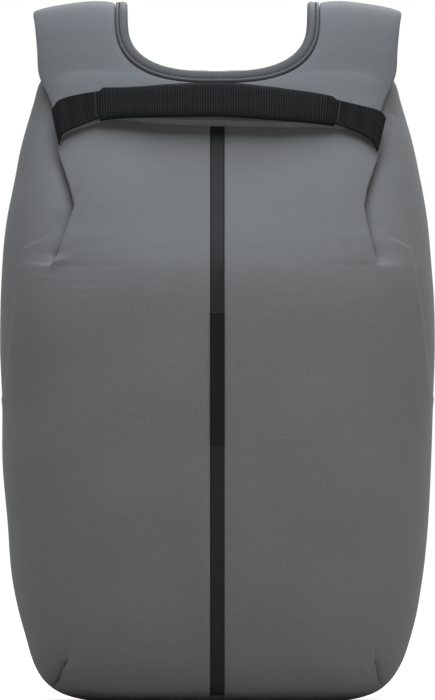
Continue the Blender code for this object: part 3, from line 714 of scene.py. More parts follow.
def settled(x, run, lift):
    """Where to start on the seat, so that the lifted point shows in its own place from the front.

    Each round moves the start by what the lifted point misses. Close under the crest only x is kept.
    """
    rounds, fading = 5, 0.05
    height = np.interp(run, SHOULDER_RUN, SHOULDER[:, 1])
    keep = np.clip((NECK_CORNER - height) / (fading * NECK_CORNER), 0, 1) * (run < CREST_RUN)
    seat_x, seat_run = x + 0.0, run + 0.0
    for _ in range(rounds):
        shown = lifted(seat_x, seat_run, lift)
        seat_x = seat_x + x - shown[..., 0]
        seat_run = seat_run + keep * (height - shown[..., 2])
    return seat_x, seat_run


def quads(rows, columns, start=0):
    """Corner numbers of a grid's four-sided faces, as one array."""
    index = start + np.arange(rows * columns).reshape(rows, columns)
    corners = [index[:-1, :-1], index[:-1, 1:], index[1:, 1:], index[1:, :-1]]
    return np.stack(corners, axis=-1).reshape(-1, 4)


def wrapped(corners, sides):
    """Corner numbers of a grid with one column too many, whose last column is led back to its first."""
    return (corners // (sides + 1)) * sides + (corners % (sides + 1)) % sides


def run_uv(points):
    """Pattern coordinates of a grid: the distance along its rows' run and along its columns' run."""
    down = np.linalg.norm(np.diff(points, axis=0), axis=2)
    over = np.linalg.norm(np.diff(points, axis=1), axis=2)
    u = np.concatenate([np.zeros((1, points.shape[1])), np.cumsum(down, axis=0)])
    v = np.concatenate([np.zeros((points.shape[0], 1)), np.cumsum(over, axis=1)], axis=1)
    middle = points.shape[1] // 2
    return np.stack([u[:, middle : middle + 1] + 0 * v, v], axis=2)


def slab(top, bottom):
    """A closed solid between two grids of the same size: points, faces and their pattern coordinates."""
    rows, columns = top.shape[:2]
    size = rows * columns
    uv = run_uv(top)
    index = np.arange(size).reshape(rows, columns)
    rim = np.concatenate([index[0], index[1:, -1], index[-1, -2::-1], index[-2:0:-1, 0]])
    after = np.roll(rim, -1)
    walls = np.stack([after, rim, rim + size, after + size], axis=1)
    flat = np.concatenate([uv.reshape(-1, 2), uv.reshape(-1, 2)])
    faces = [quads(rows, columns), quads(rows, columns, size)[:, ::-1], walls]
    return np.concatenate([top.reshape(-1, 3), bottom.reshape(-1, 3)]), faces, [flat[part] for part in faces]


def tube(rings):
    """A closed solid through rings of points, with a flat cap at each end."""
    count, sides = rings.shape[:2]
    closed = np.concatenate([rings, rings[:, :1]], axis=1)
    uv = run_uv(closed)
    corner = quads(count, sides + 1)
    around = wrapped(corner, sides)
    first = np.arange(sides)[None, ::-1]
    last = first[:, ::-1] + (count - 1) * sides
    flat = uv[:, :-1].reshape(-1, 2)
    return rings.reshape(-1, 3), [around, first, last], [uv.reshape(-1, 2)[corner], flat[first], flat[last]]


def stitches(starts, ends, radius):
    """A short rounded thread from each start to its end: rings with a few sides each, and two caps.

    The first and last rings are narrower. A slanted direction that no thread follows sets the rings' turn.
    """
    sides, slant = 6, [0.13, 0.21, 0.97]
    places, widths = np.array([0.0, 0.2, 0.8, 1.0]), np.array([0.45, 1.0, 1.0, 0.45])
    axis = unit(ends - starts)
    side = unit(np.cross(axis, slant))
    other = np.cross(axis, side)
    turn = np.linspace(0, 2 * np.pi, sides, endpoint=False)
    ring = side[:, None] * np.cos(turn)[:, None] + other[:, None] * np.sin(turn)[:, None]
    share = places[None, :, None, None]
    wide = widths[None, :, None, None] * radius
    middle = starts[:, None, None] * (1 - share) + ends[:, None, None] * share
    points = middle + ring[:, None] * wide
    base = len(places) * sides * np.arange(len(starts))[:, None, None]
    around = wrapped(quads(len(places), sides + 1), sides)
    faces = [(base + around[None]).reshape(-1, 4)]
    faces.append(base[:, 0] + np.arange(sides)[None, ::-1])
    faces.append(base[:, 0] + (len(places) - 1) * sides + np.arange(sides)[None])
    return points.reshape(-1, 3), faces, [np.zeros(part.shape + (2,)) for part in faces]


def sewn(pairs, radius):
    """The stitches of several rows as one mesh."""
    starts, ends = zip(*pairs)
    return stitches(np.concatenate(starts), np.concatenate(ends), radius)


def volume(points, faces):
    """The signed volume of a closed mesh: the sum over its triangles of a . (b x c) / 6."""
    total = 0.0
    for part in faces:
        a = points[part[:, 0]]
        for k in range(1, part.shape[1] - 1):
            total += np.einsum("ij,ij->", a, np.cross(points[part[:, k]], points[part[:, k + 1]]))
    return total / 6


SHARP_ANGLE = 55


def add_piece(name, shape, finish, nodes=()):
    """A named piece from points, faces and pattern coordinates, in the frame's place and riding with it.

    Its faces are turned outwards, and edges sharper than a set angle stay crisp.
    """
    points, faces, corners = shape
    points = points + np.array([0, BACK_PLANE, 0])
    if volume(points, faces) < 0:
        faces = [part[:, ::-1] for part in faces]
        corners = [part[:, ::-1] for part in corners]
    counts = np.concatenate([np.full(len(part), part.shape[1]) for part in faces])
    mesh = bpy.data.meshes.new(name)
    mesh.vertices.add(len(points))
    mesh.vertices.foreach_set("co", points.ravel())
    mesh.loops.add(int(counts.sum()))
    mesh.loops.foreach_set("vertex_index", np.concatenate([part.ravel() for part in faces]))
    mesh.polygons.add(len(counts))
    mesh.polygons.foreach_set("loop_start", np.concatenate([[0], np.cumsum(counts)[:-1]]))
    mesh.update(calc_edges=True)
    layer = mesh.uv_layers.new(name="UVMap")
    layer.data.foreach_set("uv", np.concatenate([part.reshape(-1, 2) for part in corners]).ravel())
    mesh.shade_smooth()
    mesh.set_sharp_from_angle(angle=np.radians(SHARP_ANGLE))
    mesh.materials.append(material(finish))
    piece = bpy.data.objects.new(name, mesh)
    bpy.context.scene.collection.objects.link(piece)
    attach(piece, "root")
    if nodes:
        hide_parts(*nodes)


def new_node(tree, kind, settings=None, inputs=None):
    """A node with its settings, and with its inputs set to values or linked to sockets."""
    node = tree.nodes.new(kind)
    for key, value in (settings or {}).items():
        setattr(node, key, value)
    for key, value in (inputs or {}).items():
        if isinstance(value, bpy.types.NodeSocket):
            tree.links.new(value, node.inputs[key])
        else:
            node.inputs[key].default_value = value
    return node


def math(tree, operation, first, second=0.0):
    """The result of one sum on two values or sockets."""
    return new_node(tree, "ShaderNodeMath", {"operation": operation}, {0: first, 1: second}).outputs[0]


def noise(tree, vector, scale, detail=2.0):
    """A noise pattern's value."""
    inputs = {"Vector": vector, "Scale": scale, "Detail": detail}
    return new_node(tree, "ShaderNodeTexNoise", None, inputs).outputs[0]


def new_group(name, inputs):
    """A shared shader group with a colour and values in, and a colour, a roughness and a height out."""
    tree = bpy.data.node_groups.new(name, "ShaderNodeTree")
    tree.interface.new_socket(name="Color", in_out="INPUT", socket_type="NodeSocketColor")
    for label, default in inputs:
        socket = tree.interface.new_socket(name=label, in_out="INPUT", socket_type="NodeSocketFloat")
        socket.default_value = default
    results = {"Color": "NodeSocketColor", "Roughness": "NodeSocketFloat", "Height": "NodeSocketFloat"}
    for label, kind in results.items():
        tree.interface.new_socket(name=label, in_out="OUTPUT", socket_type=kind)
    return tree, tree.nodes.new("NodeGroupInput"), tree.nodes.new("NodeGroupOutput")


def tinted(tree, colour, value):
    """A colour made lighter or darker by a value about 1."""
    return new_node(tree, "ShaderNodeHueSaturation", None, {"Color": colour, "Value": value}).outputs[0]


def finish_group(tree, out, colour, roughness, height):
    """Links a group's three results."""
    tree.links.new(colour, out.inputs["Color"])
    tree.links.new(roughness, out.inputs["Roughness"])
    tree.links.new(height, out.inputs["Height"])
    return tree


def cloth_group():
    """Coated cloth: a fine grain, warp and weft threads, and a broad mottle."""
    tree, given, out = new_group("Coated Cloth", [("Roughness", 0.8), ("Grain", 0.9), ("Mottle", 0.12)])
    place = new_node(tree, "ShaderNodeTexCoord").outputs["Object"]
    warp_place = new_node(tree, "ShaderNodeMapping", None, {"Vector": place, "Scale": (1500, 1500, 90)})
    weft_place = new_node(tree, "ShaderNodeMapping", None, {"Vector": place, "Scale": (90, 90, 1500)})
    warp = noise(tree, warp_place.outputs[0], 1.0)
    weft = noise(tree, weft_place.outputs[0], 1.0)
    grain = noise(tree, place, 900.0, 3.0)
    mottle = noise(tree, place, 14.0, 4.0)
    threads = math(tree, "MULTIPLY", math(tree, "ADD", warp, weft), 0.5)
    fine = math(tree, "MULTIPLY", math(tree, "ADD", threads, grain), 0.5)
    fine_part = math(tree, "MULTIPLY", math(tree, "SUBTRACT", fine, 0.5), given.outputs["Grain"])
    broad_part = math(tree, "MULTIPLY", math(tree, "SUBTRACT", mottle, 0.5), given.outputs["Mottle"])
    value = math(tree, "ADD", math(tree, "ADD", fine_part, broad_part), 1.0)
    rough = math(tree, "ADD", fine_part, given.outputs["Roughness"])
    return finish_group(tree, out, tinted(tree, given.outputs["Color"], value), rough, fine)


def webbing_group():
    """Woven webbing: ribs across its run and small threads, read from the piece's own pattern coordinates.

    Ribs and Threads are in radians for each metre: 2 pi over the pitch.
    """
    tree, given, out = new_group("Woven Webbing", [("Roughness", 0.7), ("Ribs", 3590.0), ("Threads", 5700.0)])
    place = new_node(tree, "ShaderNodeTexCoord").outputs["UV"]
    parts = new_node(tree, "ShaderNodeSeparateXYZ", None, {0: place})
    rib = math(tree, "SINE", math(tree, "MULTIPLY", parts.outputs[0], given.outputs["Ribs"]))
    thread = math(tree, "SINE", math(tree, "MULTIPLY", parts.outputs[1], given.outputs["Threads"]))
    weave = math(tree, "MULTIPLY", math(tree, "ADD", rib, 1.0), math(tree, "ADD", thread, 1.0))
    speck = noise(tree, new_node(tree, "ShaderNodeTexCoord").outputs["Object"], 700.0)
    # The colour follows the weave's relief: painted highlight on the ribs and threads, painted shade between
    # them.
    value = math(tree, "ADD", math(tree, "MULTIPLY", weave, 0.85), math(tree, "MULTIPLY", speck, 0.5))
    rough = math(tree, "ADD", math(tree, "MULTIPLY", speck, 0.1), given.outputs["Roughness"])
    return finish_group(tree, out, tinted(tree, given.outputs["Color"], value), rough, weave)


def mesh_group():
    """Spacer mesh: small round holes between raised threads."""
    tree, given, out = new_group("Spacer Mesh", [("Roughness", 0.9), ("Cells", 330.0)])
    place = new_node(tree, "ShaderNodeTexCoord").outputs["Object"]
    inputs = {"Vector": place, "Scale": given.outputs["Cells"], "Randomness": 0.25}
    cells = new_node(tree, "ShaderNodeTexVoronoi", {"feature": "F1"}, inputs).outputs["Distance"]
    inputs = {"Value": cells, "From Min": 0.18, "From Max": 0.42}
    raised = new_node(tree, "ShaderNodeMapRange", {"interpolation_type": "SMOOTHSTEP"}, inputs).outputs[0]
    value = math(tree, "ADD", math(tree, "MULTIPLY", raised, 0.9), 0.35)
    rough = math(tree, "ADD", math(tree, "MULTIPLY", raised, -0.1), given.outputs["Roughness"])
    return finish_group(tree, out, tinted(tree, given.outputs["Color"], value), rough, raised)


def moulded_group():
    """Moulded plastic or coating: a faint pebble and a slow change of shine."""
    tree, given, out = new_group("Moulded Skin", [("Roughness", 0.45), ("Pebble", 1600.0)])
    place = new_node(tree, "ShaderNodeTexCoord").outputs["Object"]
    pebble = noise(tree, place, given.outputs["Pebble"], 2.0)
    broad = noise(tree, place, 40.0, 2.0)
    value = math(tree, "ADD", math(tree, "MULTIPLY", broad, 0.3), math(tree, "ADD", pebble, 0.35))
    rough = math(tree, "ADD", math(tree, "MULTIPLY", broad, 0.12), given.outputs["Roughness"])
    return finish_group(tree, out, tinted(tree, given.outputs["Color"], value), rough, pebble)


# Each finish: its group, its colour's name, the group's values, its relief's depth, its sheen and its shine
FINISHES = {
    "body_cloth": (cloth_group, "body", {"Roughness": 0.78}, 0.00006, 0.10, 0.35),
    "yoke_cloth": (cloth_group, "yoke", {"Roughness": 0.78}, 0.00006, 0.10, 0.35),
    "binding_cloth": (cloth_group, "binding", {"Roughness": 0.70, "Mottle": 0.05}, 0.00004, 0.10, 0.35),
    "strap_cloth": (cloth_group, "strap", {"Roughness": 0.80}, 0.00006, 0.10, 0.35),
    "panel_mesh": (mesh_group, "mesh", {}, 0.0004, 0.0, 0.35),
    "coated_strip": (moulded_group, "strip", {"Roughness": 0.50}, 0.00001, 0.0, 0.12),
    "label": (moulded_group, "label", {"Roughness": 0.42}, 0.00001, 0.0, 0.14),
    "webbing": (webbing_group, "webbing", {"Roughness": 0.75}, 0.00010, 0.0, 0.12),
    "thread": (moulded_group, "thread", {"Roughness": 0.6}, 0.00002, 0.0, 0.12),
    "black_thread": (moulded_group, "seam", {"Roughness": 0.5}, 0.00002, 0.0, 0.12),
    "plastic": (moulded_group, "plastic", {"Roughness": 0.38}, 0.00002, 0.0, 0.35),
}
SHEEN_ROUGHNESS = 0.5

# The shader groups and the materials that are made already
GROUPS = {}
MATERIALS = {}


def make_material(name):
    """A material of one shared group: its colour, roughness and height feed a plain shader."""
    maker, colour_name, values, relief, sheen, shine = FINISHES[name]
    if maker not in GROUPS:
        GROUPS[maker] = maker()
    made = bpy.data.materials.new(name)
    made.use_nodes = True
    tree = made.node_tree
    shader = tree.nodes["Principled BSDF"]
    group = new_node(tree, "ShaderNodeGroup", {"node_tree": GROUPS[maker]})
    group.inputs["Color"].default_value = (*getattr(bpy.context.scene.backpack_colours, colour_name), 1.0)
    for key, value in values.items():
        group.inputs[key].default_value = value
    inputs = {"Strength": 1.0, "Distance": relief, "Height": group.outputs["Height"]}
    bump = new_node(tree, "ShaderNodeBump", None, inputs)
    tree.links.new(group.outputs["Color"], shader.inputs["Base Color"])
    tree.links.new(group.outputs["Roughness"], shader.inputs["Roughness"])
    tree.links.new(bump.outputs["Normal"], shader.inputs["Normal"])
    shader.inputs["Sheen Weight"].default_value = sheen
    shader.inputs["Sheen Roughness"].default_value = SHEEN_ROUGHNESS
    shader.inputs["Specular IOR Level"].default_value = shine
    return made


def material(name):
    """One of the bag's materials, made when it is first needed."""
    if name not in MATERIALS:
        MATERIALS[name] = make_material(name)
    return MATERIALS[name]


def body_heights():
    """The heights of the body's rows, close together at the base and across the folds.

    Each band goes from one share of the height to another in a number of rows.
    """
    bands = [(0.0, 0.02, 24), (0.02, 0.075, 36), (0.075, 0.64, 80), (0.64, 0.92, 116), (0.92, 1.0, 24)]
    shares = [np.linspace(low, high, count, endpoint=False) for low, high, count in bands]
    return np.concatenate(shares + [np.array([1.0])]) * BODY_HEIGHT


def body_half(heights, name):
    """One half of every body section: x outward, depth, place beside the fold, and place across.

    The back stretch is a shallow bow. The side shares out the angle of a squared ellipse and the panel its
    width, both closer together at the fold. Beside the fold the distance is negative on the side.
    """
    half, depth, power = (size[:, None] for size in body_size(heights))
    fold = smooth(FOLDS["height"], FOLDS[name], heights / BODY_HEIGHT)[:, None]
    bow = np.linspace(0, 1, BOW_COLUMNS + 1)[None, :-1]
    bow_x = half * (1 - SIDE_TUCK * (1 - bow) ** 2)
    bow_depth = depth * SIDE_SHARE * bow
    place = np.linspace(0, 1, SIDE_COLUMNS + 1)[None, :]
    angle = np.arccos(fold ** (power / 2)) * (1 - (1 - place) ** 1.8) ** 1.4
    side_x = half * np.cos(angle) ** (2 / power)
    side_depth = depth * (SIDE_SHARE + (1 - SIDE_SHARE) * np.sin(angle) ** (2 / power))
    place = np.linspace(0, 1, PANEL_COLUMNS + 1)[None, 1:] ** 1.7
    panel_x = fold * half + (CHANNEL_WIDTH / 2 - fold * half) * place
    panel_depth = depth * (SIDE_SHARE + (1 - SIDE_SHARE) * (1 - (panel_x / half) ** power) ** (1 / power))
    x = np.hstack([bow_x, side_x, panel_x])
    d = np.hstack([bow_depth, side_depth, panel_depth])
    length = np.hypot(np.diff(x, axis=1), np.diff(d, axis=1))
    run = np.hstack([np.zeros((len(heights), 1)), np.cumsum(length, axis=1)])
    beside = run - run[:, BOW_COLUMNS + SIDE_COLUMNS][:, None]
    out = x / half
    out[:, :BOW_COLUMNS] = 2 - out[:, :BOW_COLUMNS]
    return x, d, beside, out


def fold_relief(beside, sink, sizes):
    """How far the cloth lies in or out beside a fold, and how far the panel leans out over it.

    The side falls away as -sink * exp(-s / reach), with a narrower, steeper part of its own. The panel turns
    in on a quarter circle, and the padding swells behind it as s * exp(-s).
    """
    on_side = beside <= 0
    far = np.abs(beside)
    turn_in = -sink * (1 - rounded(far, sizes.crease_roll))
    swell = far / PUFF_REACH
    puff = sizes.crease_puff * sink / FOLD_DEPTH * swell * np.exp(1 - swell)
    fall = BROAD_FALL * np.exp(-far / FOLD_REACH) + STEEP_FALL * np.exp(-far / STEEP_REACH)
    raised = 1 + turn_in / np.maximum(sink, 1e-6)
    lip = sizes.crease_lip * sink / FOLD_DEPTH * raised * np.exp(-((far / LIP_REACH) ** 2))
    return np.where(on_side, -sink * fall, PANEL_TURN * turn_in + puff), np.where(on_side, 0, lip)


def cloth_relief(x, z, out, sizes):
    """Puckers, the side flap's edge, faint ripples and slow waves, as a height over the front view.

    A pucker is a bell curve, longer one way than the other. The waves are sines of drawn turns and pitches.
    """
    relief = np.zeros_like(x)
    for middle_x, middle_z, turn, length, width, rise in zip(*PUCKERS.values()):
        cosine, sine = np.cos(np.radians(turn)), np.sin(np.radians(turn))
        run = (x - middle_x) * cosine + (z - middle_z) * sine
        off = (z - middle_z) * cosine - (x - middle_x) * sine
        relief += rise * np.exp(-((run / length) ** 2) - (off / width) ** 2) * (out < 1.0)
    line = np.interp(z, FLAP["height"], FLAP["out"])
    window = step(*FLAP_STARTS, z) * (1 - step(*FLAP_ENDS, z))
    inside = (line - out) * BODY_WIDTH / 2
    flap = sizes.flap_step * window * step(-FLAP_EDGE, FLAP_EDGE, inside)
    relief += flap * np.exp(-((inside / FLAP_FADE) ** 2))
    ripple = np.exp(-(((z - RIPPLE_MIDDLE) / RIPPLE_REACH) ** 2))
    ripple = ripple * step(*RIPPLE_INNER, out) * (1 - step(*RIPPLE_OUTER, out))
    relief += RIPPLE_RISE * np.sin(2 * np.pi * z / RIPPLE_PITCH + RIPPLE_LEAN * x / BODY_WIDTH) * ripple
    draw = np.random.default_rng(WAVE_SEED)
    waves = np.zeros_like(x)
    for _ in range(WAVE_COUNT):
        turn = draw.uniform(0, np.pi)
        pitch = draw.uniform(*WAVE_PITCH)
        start = draw.uniform(0, 2 * np.pi)
        waves += np.sin(2 * np.pi * (x * np.cos(turn) + z * np.sin(turn)) / pitch + start)
    calm = step(*WAVES_START, z) * (1 - step(*WAVES_END, z)) * step(*WAVES_INNER, out)
    return relief + sizes.unevenness * waves / np.sqrt(WAVE_COUNT) * calm


def padded_body(sizes):
    """The body as one cloth wall: its outer surface, its inner one, and the edges that join them."""
    heights = body_heights()
    share = heights / BODY_HEIGHT
    sink = smooth(FOLDS["height"], FOLDS["depth"], share)[:, None] * FOLD_DEPTH
    left_x, left_d, left_beside, left_out = body_half(heights, "left")
    right_x, right_d, right_beside, right_out = body_half(heights, "right")
    x = np.hstack([-left_x, right_x[:, ::-1]])
    d = np.hstack([left_d, right_d[:, ::-1]])
    beside = np.hstack([left_beside, right_beside[:, ::-1]])
    out = np.hstack([left_out, right_out[:, ::-1]])
    z = heights[:, None] + 0 * x
    surface = np.stack([x, -d, z], axis=2)
    normal = unit(np.cross(np.gradient(surface, axis=1), np.gradient(surface, axis=0)))
    folded, lean = fold_relief(beside, sink, sizes)
    relief = folded + cloth_relief(x, z, out, sizes)
    edge = np.abs(x) - CHANNEL_WIDTH / 2
    relief -= CHANNEL_DIP * np.exp(-np.clip(edge, 0, None) / CHANNEL_REACH)
    relief *= step(0, CALM_BASE, z)
    surface = surface + normal * relief[..., None]
    surface[..., 0] += np.sign(x) * lean
    half = x.shape[1] // 2
    lip = surface[:, half - 1 : half + 1].copy()
    lip[..., 0] *= (CHANNEL_WIDTH / 2 - GAP / 2) / (CHANNEL_WIDTH / 2)
    lip[..., 1] += CHANNEL_DEPTH
    lip[..., 1] = lip[..., 1].mean(axis=1, keepdims=True)
    outer = np.concatenate([surface[:, :half], lip, surface[:, half:]], axis=1)
    picked = np.concatenate([np.arange(0, half, INNER_EVERY), [BOW_COLUMNS + SIDE_COLUMNS, half - 1]])
    picked = np.unique(picked)
    picked = np.concatenate([picked, 2 * half - 1 - picked[::-1]])
    inner = surface[:, picked] - normal[:, picked] * SHELL_WALL
    inner[..., 2] = np.clip(inner[..., 2], SHELL_WALL, BODY_HEIGHT - SHELL_WALL)
    inner[:, [0, -1], 1] = outer[:, [0, -1], 1]
    return hollow(outer, inner)


def hollow(outer, inner):
    """A cloth wall between an outer and an inner grid with the same rows, open at the back.

    The wall's back edges are strips of four-sided faces, and its base and top are flat faces inside and out.
    """
    rows, columns = outer.shape[:2]
    inner_columns = inner.shape[1]
    start = rows * columns
    over = np.arange(start).reshape(rows, columns)
    under = start + np.arange(rows * inner_columns).reshape(rows, inner_columns)
    faces = [quads(rows, columns), quads(rows, inner_columns, start)[:, ::-1]]
    faces.append(np.stack([over[:-1, 0], over[1:, 0], under[1:, 0], under[:-1, 0]], axis=1))
    faces.append(np.stack([over[:-1, -1], over[1:, -1], under[1:, -1], under[:-1, -1]], axis=1)[:, ::-1])
    for row, turn in ((0, -1), (rows - 1, 1)):
        faces.append(over[row][None, ::turn])
        faces.append(under[row][None, ::-turn])
        edge = np.array([[over[row, -1], over[row, 0], under[row, 0], under[row, -1]]])
        faces.append(edge[:, ::turn])
    points = np.concatenate([outer.reshape(-1, 3), inner.reshape(-1, 3)])
    flat = points[:, [0, 2]]
    return points, faces, [flat[part] for part in faces]


def front_band(low, high, back, front, edge):
    """A band on the body's middle line, between two heights and two distances ahead of the cloth.

    Across it the face is rounded at both edges on a quarter circle, and so are its two ends.
    """
    heights = np.linspace(low, high, 420)[:, None]
    across = np.sin(np.linspace(-np.pi / 2, np.pi / 2, 17))[None, :]
    depth = np.interp(heights, FINE_HEIGHTS, FINE_DEPTH) + 0 * across
    x = STRIP_WIDTH / 2 * across + 0 * heights
    from_edge = np.minimum(STRIP_WIDTH / 2 - np.abs(x), np.minimum(heights - low, high - heights))
    round_off = 1 - rounded(from_edge, edge)
    face = np.stack([x, -(depth + front - round_off * edge), heights + 0 * x], axis=2)
    rear = np.stack([x, -(depth + back), heights + 0 * x], axis=2)
    return slab(face, rear)


def neck_line(inset):
    """The neck's edge in the flat: x and run, from the left seam over the shoulder, round the neck and back.

    Round the neck it is half a squared ellipse.
    """
    half = NECK_WIDTH / 2 + inset
    deep = NECK_CORNER - NECK_HEIGHT + inset
    angle = np.linspace(0, np.pi, 1201)
    x = -half * signed_power(np.cos(angle), 2 / NECK_SQUARENESS)
    run = run_at(NECK_CORNER - deep * np.abs(np.sin(angle)) ** (2 / NECK_SQUARENESS))
    curve = spaced(np.column_stack([x, run]), NECK_ROWS)
    sides = np.linspace(SEAM_RUN, curve[0, 1], WING_ROWS, endpoint=False)
    x = np.concatenate([np.full(WING_ROWS, -half), curve[:, 0], np.full(WING_ROWS, half)])
    return x, np.concatenate([sides, curve[:, 1], sides[::-1]])


def hem_line():
    """The yoke's outer edge in the flat, row for row with the neck's: down, along the hem and up."""
    edge_x = YOKE_EDGE["out"] * YOKE_SPREAD / 2
    edge_run = run_at(YOKE_EDGE["height"] * YOKE_TOP)
    hem_run = run_at(HEM["height"] * BODY_HEIGHT)
    left = np.column_stack([-edge_x[::-1], edge_run[::-1]])
    right = np.column_stack([edge_x, edge_run])
    left = left[left[:, 1] > hem_run[0] + 0.002]
    right = right[right[:, 1] > hem_run[-1] + 0.002]
    hem = np.column_stack([HEM["along"] * edge_x[0], hem_run])
    line = through(np.vstack([left, hem, right]), NECK_ROWS)
    sides = np.linspace(SEAM_RUN, line[0, 1], WING_ROWS, endpoint=False)
    wing = YOKE_SPREAD / 2 - WING_TUCK * step(CREST_RUN - 0.004, SEAM_RUN, sides)
    x = np.concatenate([-wing, line[:, 0], wing[::-1]])
    return x, np.concatenate([sides, line[:, 1], sides[::-1]])


def padded_yoke(sizes):
    """The yoke: a crowned padded sheet whose edges turn down on quarter circles."""
    neck_x, neck_run = neck_line(BINDING_WIDTH + GAP)
    edge_x, edge_run = hem_line()
    share = (0.5 - 0.5 * np.cos(np.linspace(0, np.pi, 64)))[None, :]
    x = neck_x[:, None] * (1 - share) + edge_x[:, None] * share
    run = neck_run[:, None] * (1 - share) + edge_run[:, None] * share
    wide = np.hypot(edge_x - neck_x, edge_run - neck_run)[:, None]
    from_hem, from_neck = (1 - share) * wide, share * wide
    from_seam = np.abs(SEAM_RUN - run)
    turned = 1.0
    edges = ((from_hem, sizes.edge_round), (from_neck, NECK_SIDE_ROUND), (from_seam, SEAM_ROUND))
    for distance, radius in edges:
        turned = turned * rounded(distance, radius, LEAST_EDGE)
    crown = YOKE_CROWN * (1 - (2 * share - 1) ** CROWN_POWER)
    x, run = settled(x, run, np.full(x.shape, LAYER_GAP + YOKE_THICKNESS))
    lift = LAYER_GAP + (YOKE_THICKNESS + crown) * (0.4 + 0.6 * turned)
    return slab(lifted(x, run, lift), lifted(x, run, np.full(x.shape, LAYER_GAP)))


def neck_edge():
    """The rolled edge round the neck: its profile carried along the neck's line."""
    neck_x, neck_run = neck_line(0.0)
    seam_x, seam_run = neck_line(BINDING_WIDTH)
    across = NECK_RING["across"][None, :]
    x = neck_x[:, None] * (1 - across) + seam_x[:, None] * across
    run = neck_run[:, None] * (1 - across) + seam_run[:, None] * across
    x, run = settled(x, run, np.full(x.shape, LAYER_GAP + YOKE_THICKNESS))
    return tube(lifted(x, run, LAYER_GAP + BINDING_THICKNESS * NECK_RING["lift"][None, :] + 0 * x))


def dashes(path, pitch, share=0.62):
    """Starts and ends of the stitches along a path: one in every pitch, as long as a share of it."""
    length = along(path)
    starts = np.arange(pitch, length[-1] - 2 * pitch, pitch)
    places = (starts, starts + share * pitch)
    return [np.column_stack([np.interp(at, length, column) for column in path.T]) for at in places]


def neck_stitches(sizes):
    """The row of stitches on the rolled edge, inside its seam."""
    x, run = neck_line(STITCH_LINE * BINDING_WIDTH)
    x, run = settled(x, run, np.full(x.shape, LAYER_GAP + YOKE_THICKNESS))
    path = lifted(x, run, np.full(x.shape, LAYER_GAP + STITCH_LIFT * BINDING_THICKNESS))
    starts, ends = dashes(path, sizes.stitch_pitch, 0.5)
    return stitches(starts, ends, NECK_THREAD)


def handle_band(low, high, count, columns):
    """The handle's band between two shares of its span: points edge to edge, and the way out of the cloth.

    The band's middle bows out in front of the yoke.
    """
    middle = (HANDLE["upper_x"] + HANDLE["lower_x"]) / 2
    at = np.linspace(low, high, count)
    fine = np.linspace(middle[0], middle[-1], 1500)
    edge = {}
    for name, column in HANDLE.items():
        eased = softened(smooth(middle, column, fine), fine[1] - fine[0], 0.03)
        edge[name] = np.interp(at, fine, eased)
    share = np.linspace(0, BAND_SHARE, columns)[None, :]
    x = (edge["lower_x"][:, None] * (1 - share) + edge["upper_x"][:, None] * share) * HANDLE_SPAN / 2
    z = (edge["lower_z"][:, None] * (1 - share) + edge["upper_z"][:, None] * share) * BODY_HEIGHT
    lift = np.full(x.shape, 2 * LAYER_GAP + YOKE_THICKNESS)
    x, run = settled(x, run_at(z), lift)
    points = lifted(x, run, lift)
    out = unit(points - lifted(x, run, lift - 0.001))
    points[..., 1] -= edge["lift"][:, None] * FINGER_GAP
    return points, out


def rib_wave(run, sizes):
    """The height of the ribs at a distance along woven webbing: a cosine."""
    return sizes.rib_height * np.cos(2 * np.pi * run / sizes.rib_pitch)


def ribbed(points, sizes):
    """The height of a woven band's ribs over its grid, lower at the woven edges."""
    middle = points[:, points.shape[1] // 2]
    across = np.linspace(-1, 1, points.shape[1])[None, :]
    return rib_wave(along(middle)[:, None], sizes) * (1 - across**8)


def webbing_band(sizes):
    """The webbing across the yoke, with ribs, thick woven edges and ends that dip into the cloth."""
    back, out = handle_band(*WEBBING_ENDS, BAND_ROWS, BAND_COLUMNS)
    share = np.linspace(-1, 1, BAND_ROWS)[:, None]
    dip = END_DIP * step(DIP_START, 1.0, np.abs(share))
    across = np.linspace(-1, 1, BAND_COLUMNS)[None, :]
    edge = WOVEN_RISE * np.exp(-(((np.abs(across) - WOVEN_AT) / WOVEN_REACH) ** 2))
    thick = WEBBING_THICKNESS + edge + ribbed(back, sizes)
    back = back - out * dip[..., None]
    return slab(back + out * thick[..., None], back)


def grip_sleeve(sizes):
    """The thicker sleeve round the middle of the webbing: squared-ellipse rings, pinched at both ends.

    Its upper half is wider, and flares towards the ends as the fourth power before its corners round off.
    """
    reach = GRIP_LENGTH / HANDLE_SPAN
    band, out = handle_band(-reach, reach, SLEEVE_ROWS, 3)
    middle, ahead = band[:, 1], out[:, 1]
    across = (band[:, 2] - band[:, 0]) / 2
    turn = np.linspace(0, 2 * np.pi, SLEEVE_SIDES, endpoint=False)
    wide = signed_power(np.cos(turn), 0.62)
    high = signed_power(np.sin(turn), 0.80)
    run = along(middle)
    end = np.minimum(run, run[-1] - run)
    pinch = 0.70 + 0.30 * rounded(end, PINCH_REACH)
    half = (GRIP_THICKNESS + WEBBING_THICKNESS) / 2 * pinch + rib_wave(run, sizes)
    centre = middle + np.array([0, -(WEBBING_THICKNESS / 2 + SLEEVE_AHEAD), -SLEEVE_DROP])
    outer = np.linspace(-1, 1, len(run))[:, None, None]
    corner = 1 - CORNER_LOSS * (1 - np.clip(end / CORNER_REACH, 0, 1))[:, None, None] ** 1.3
    upper = (SLEEVE_UPPER + SLEEVE_FLARE * outer**4) * corner
    wide = np.where(wide[:, None] > 0, upper, 1.0 - SLEEVE_TAPER * outer**8) * wide[:, None]
    rings = centre[:, None] + across[:, None] * wide + (ahead * half[:, None])[:, None] * high[:, None]
    return tube(rings)


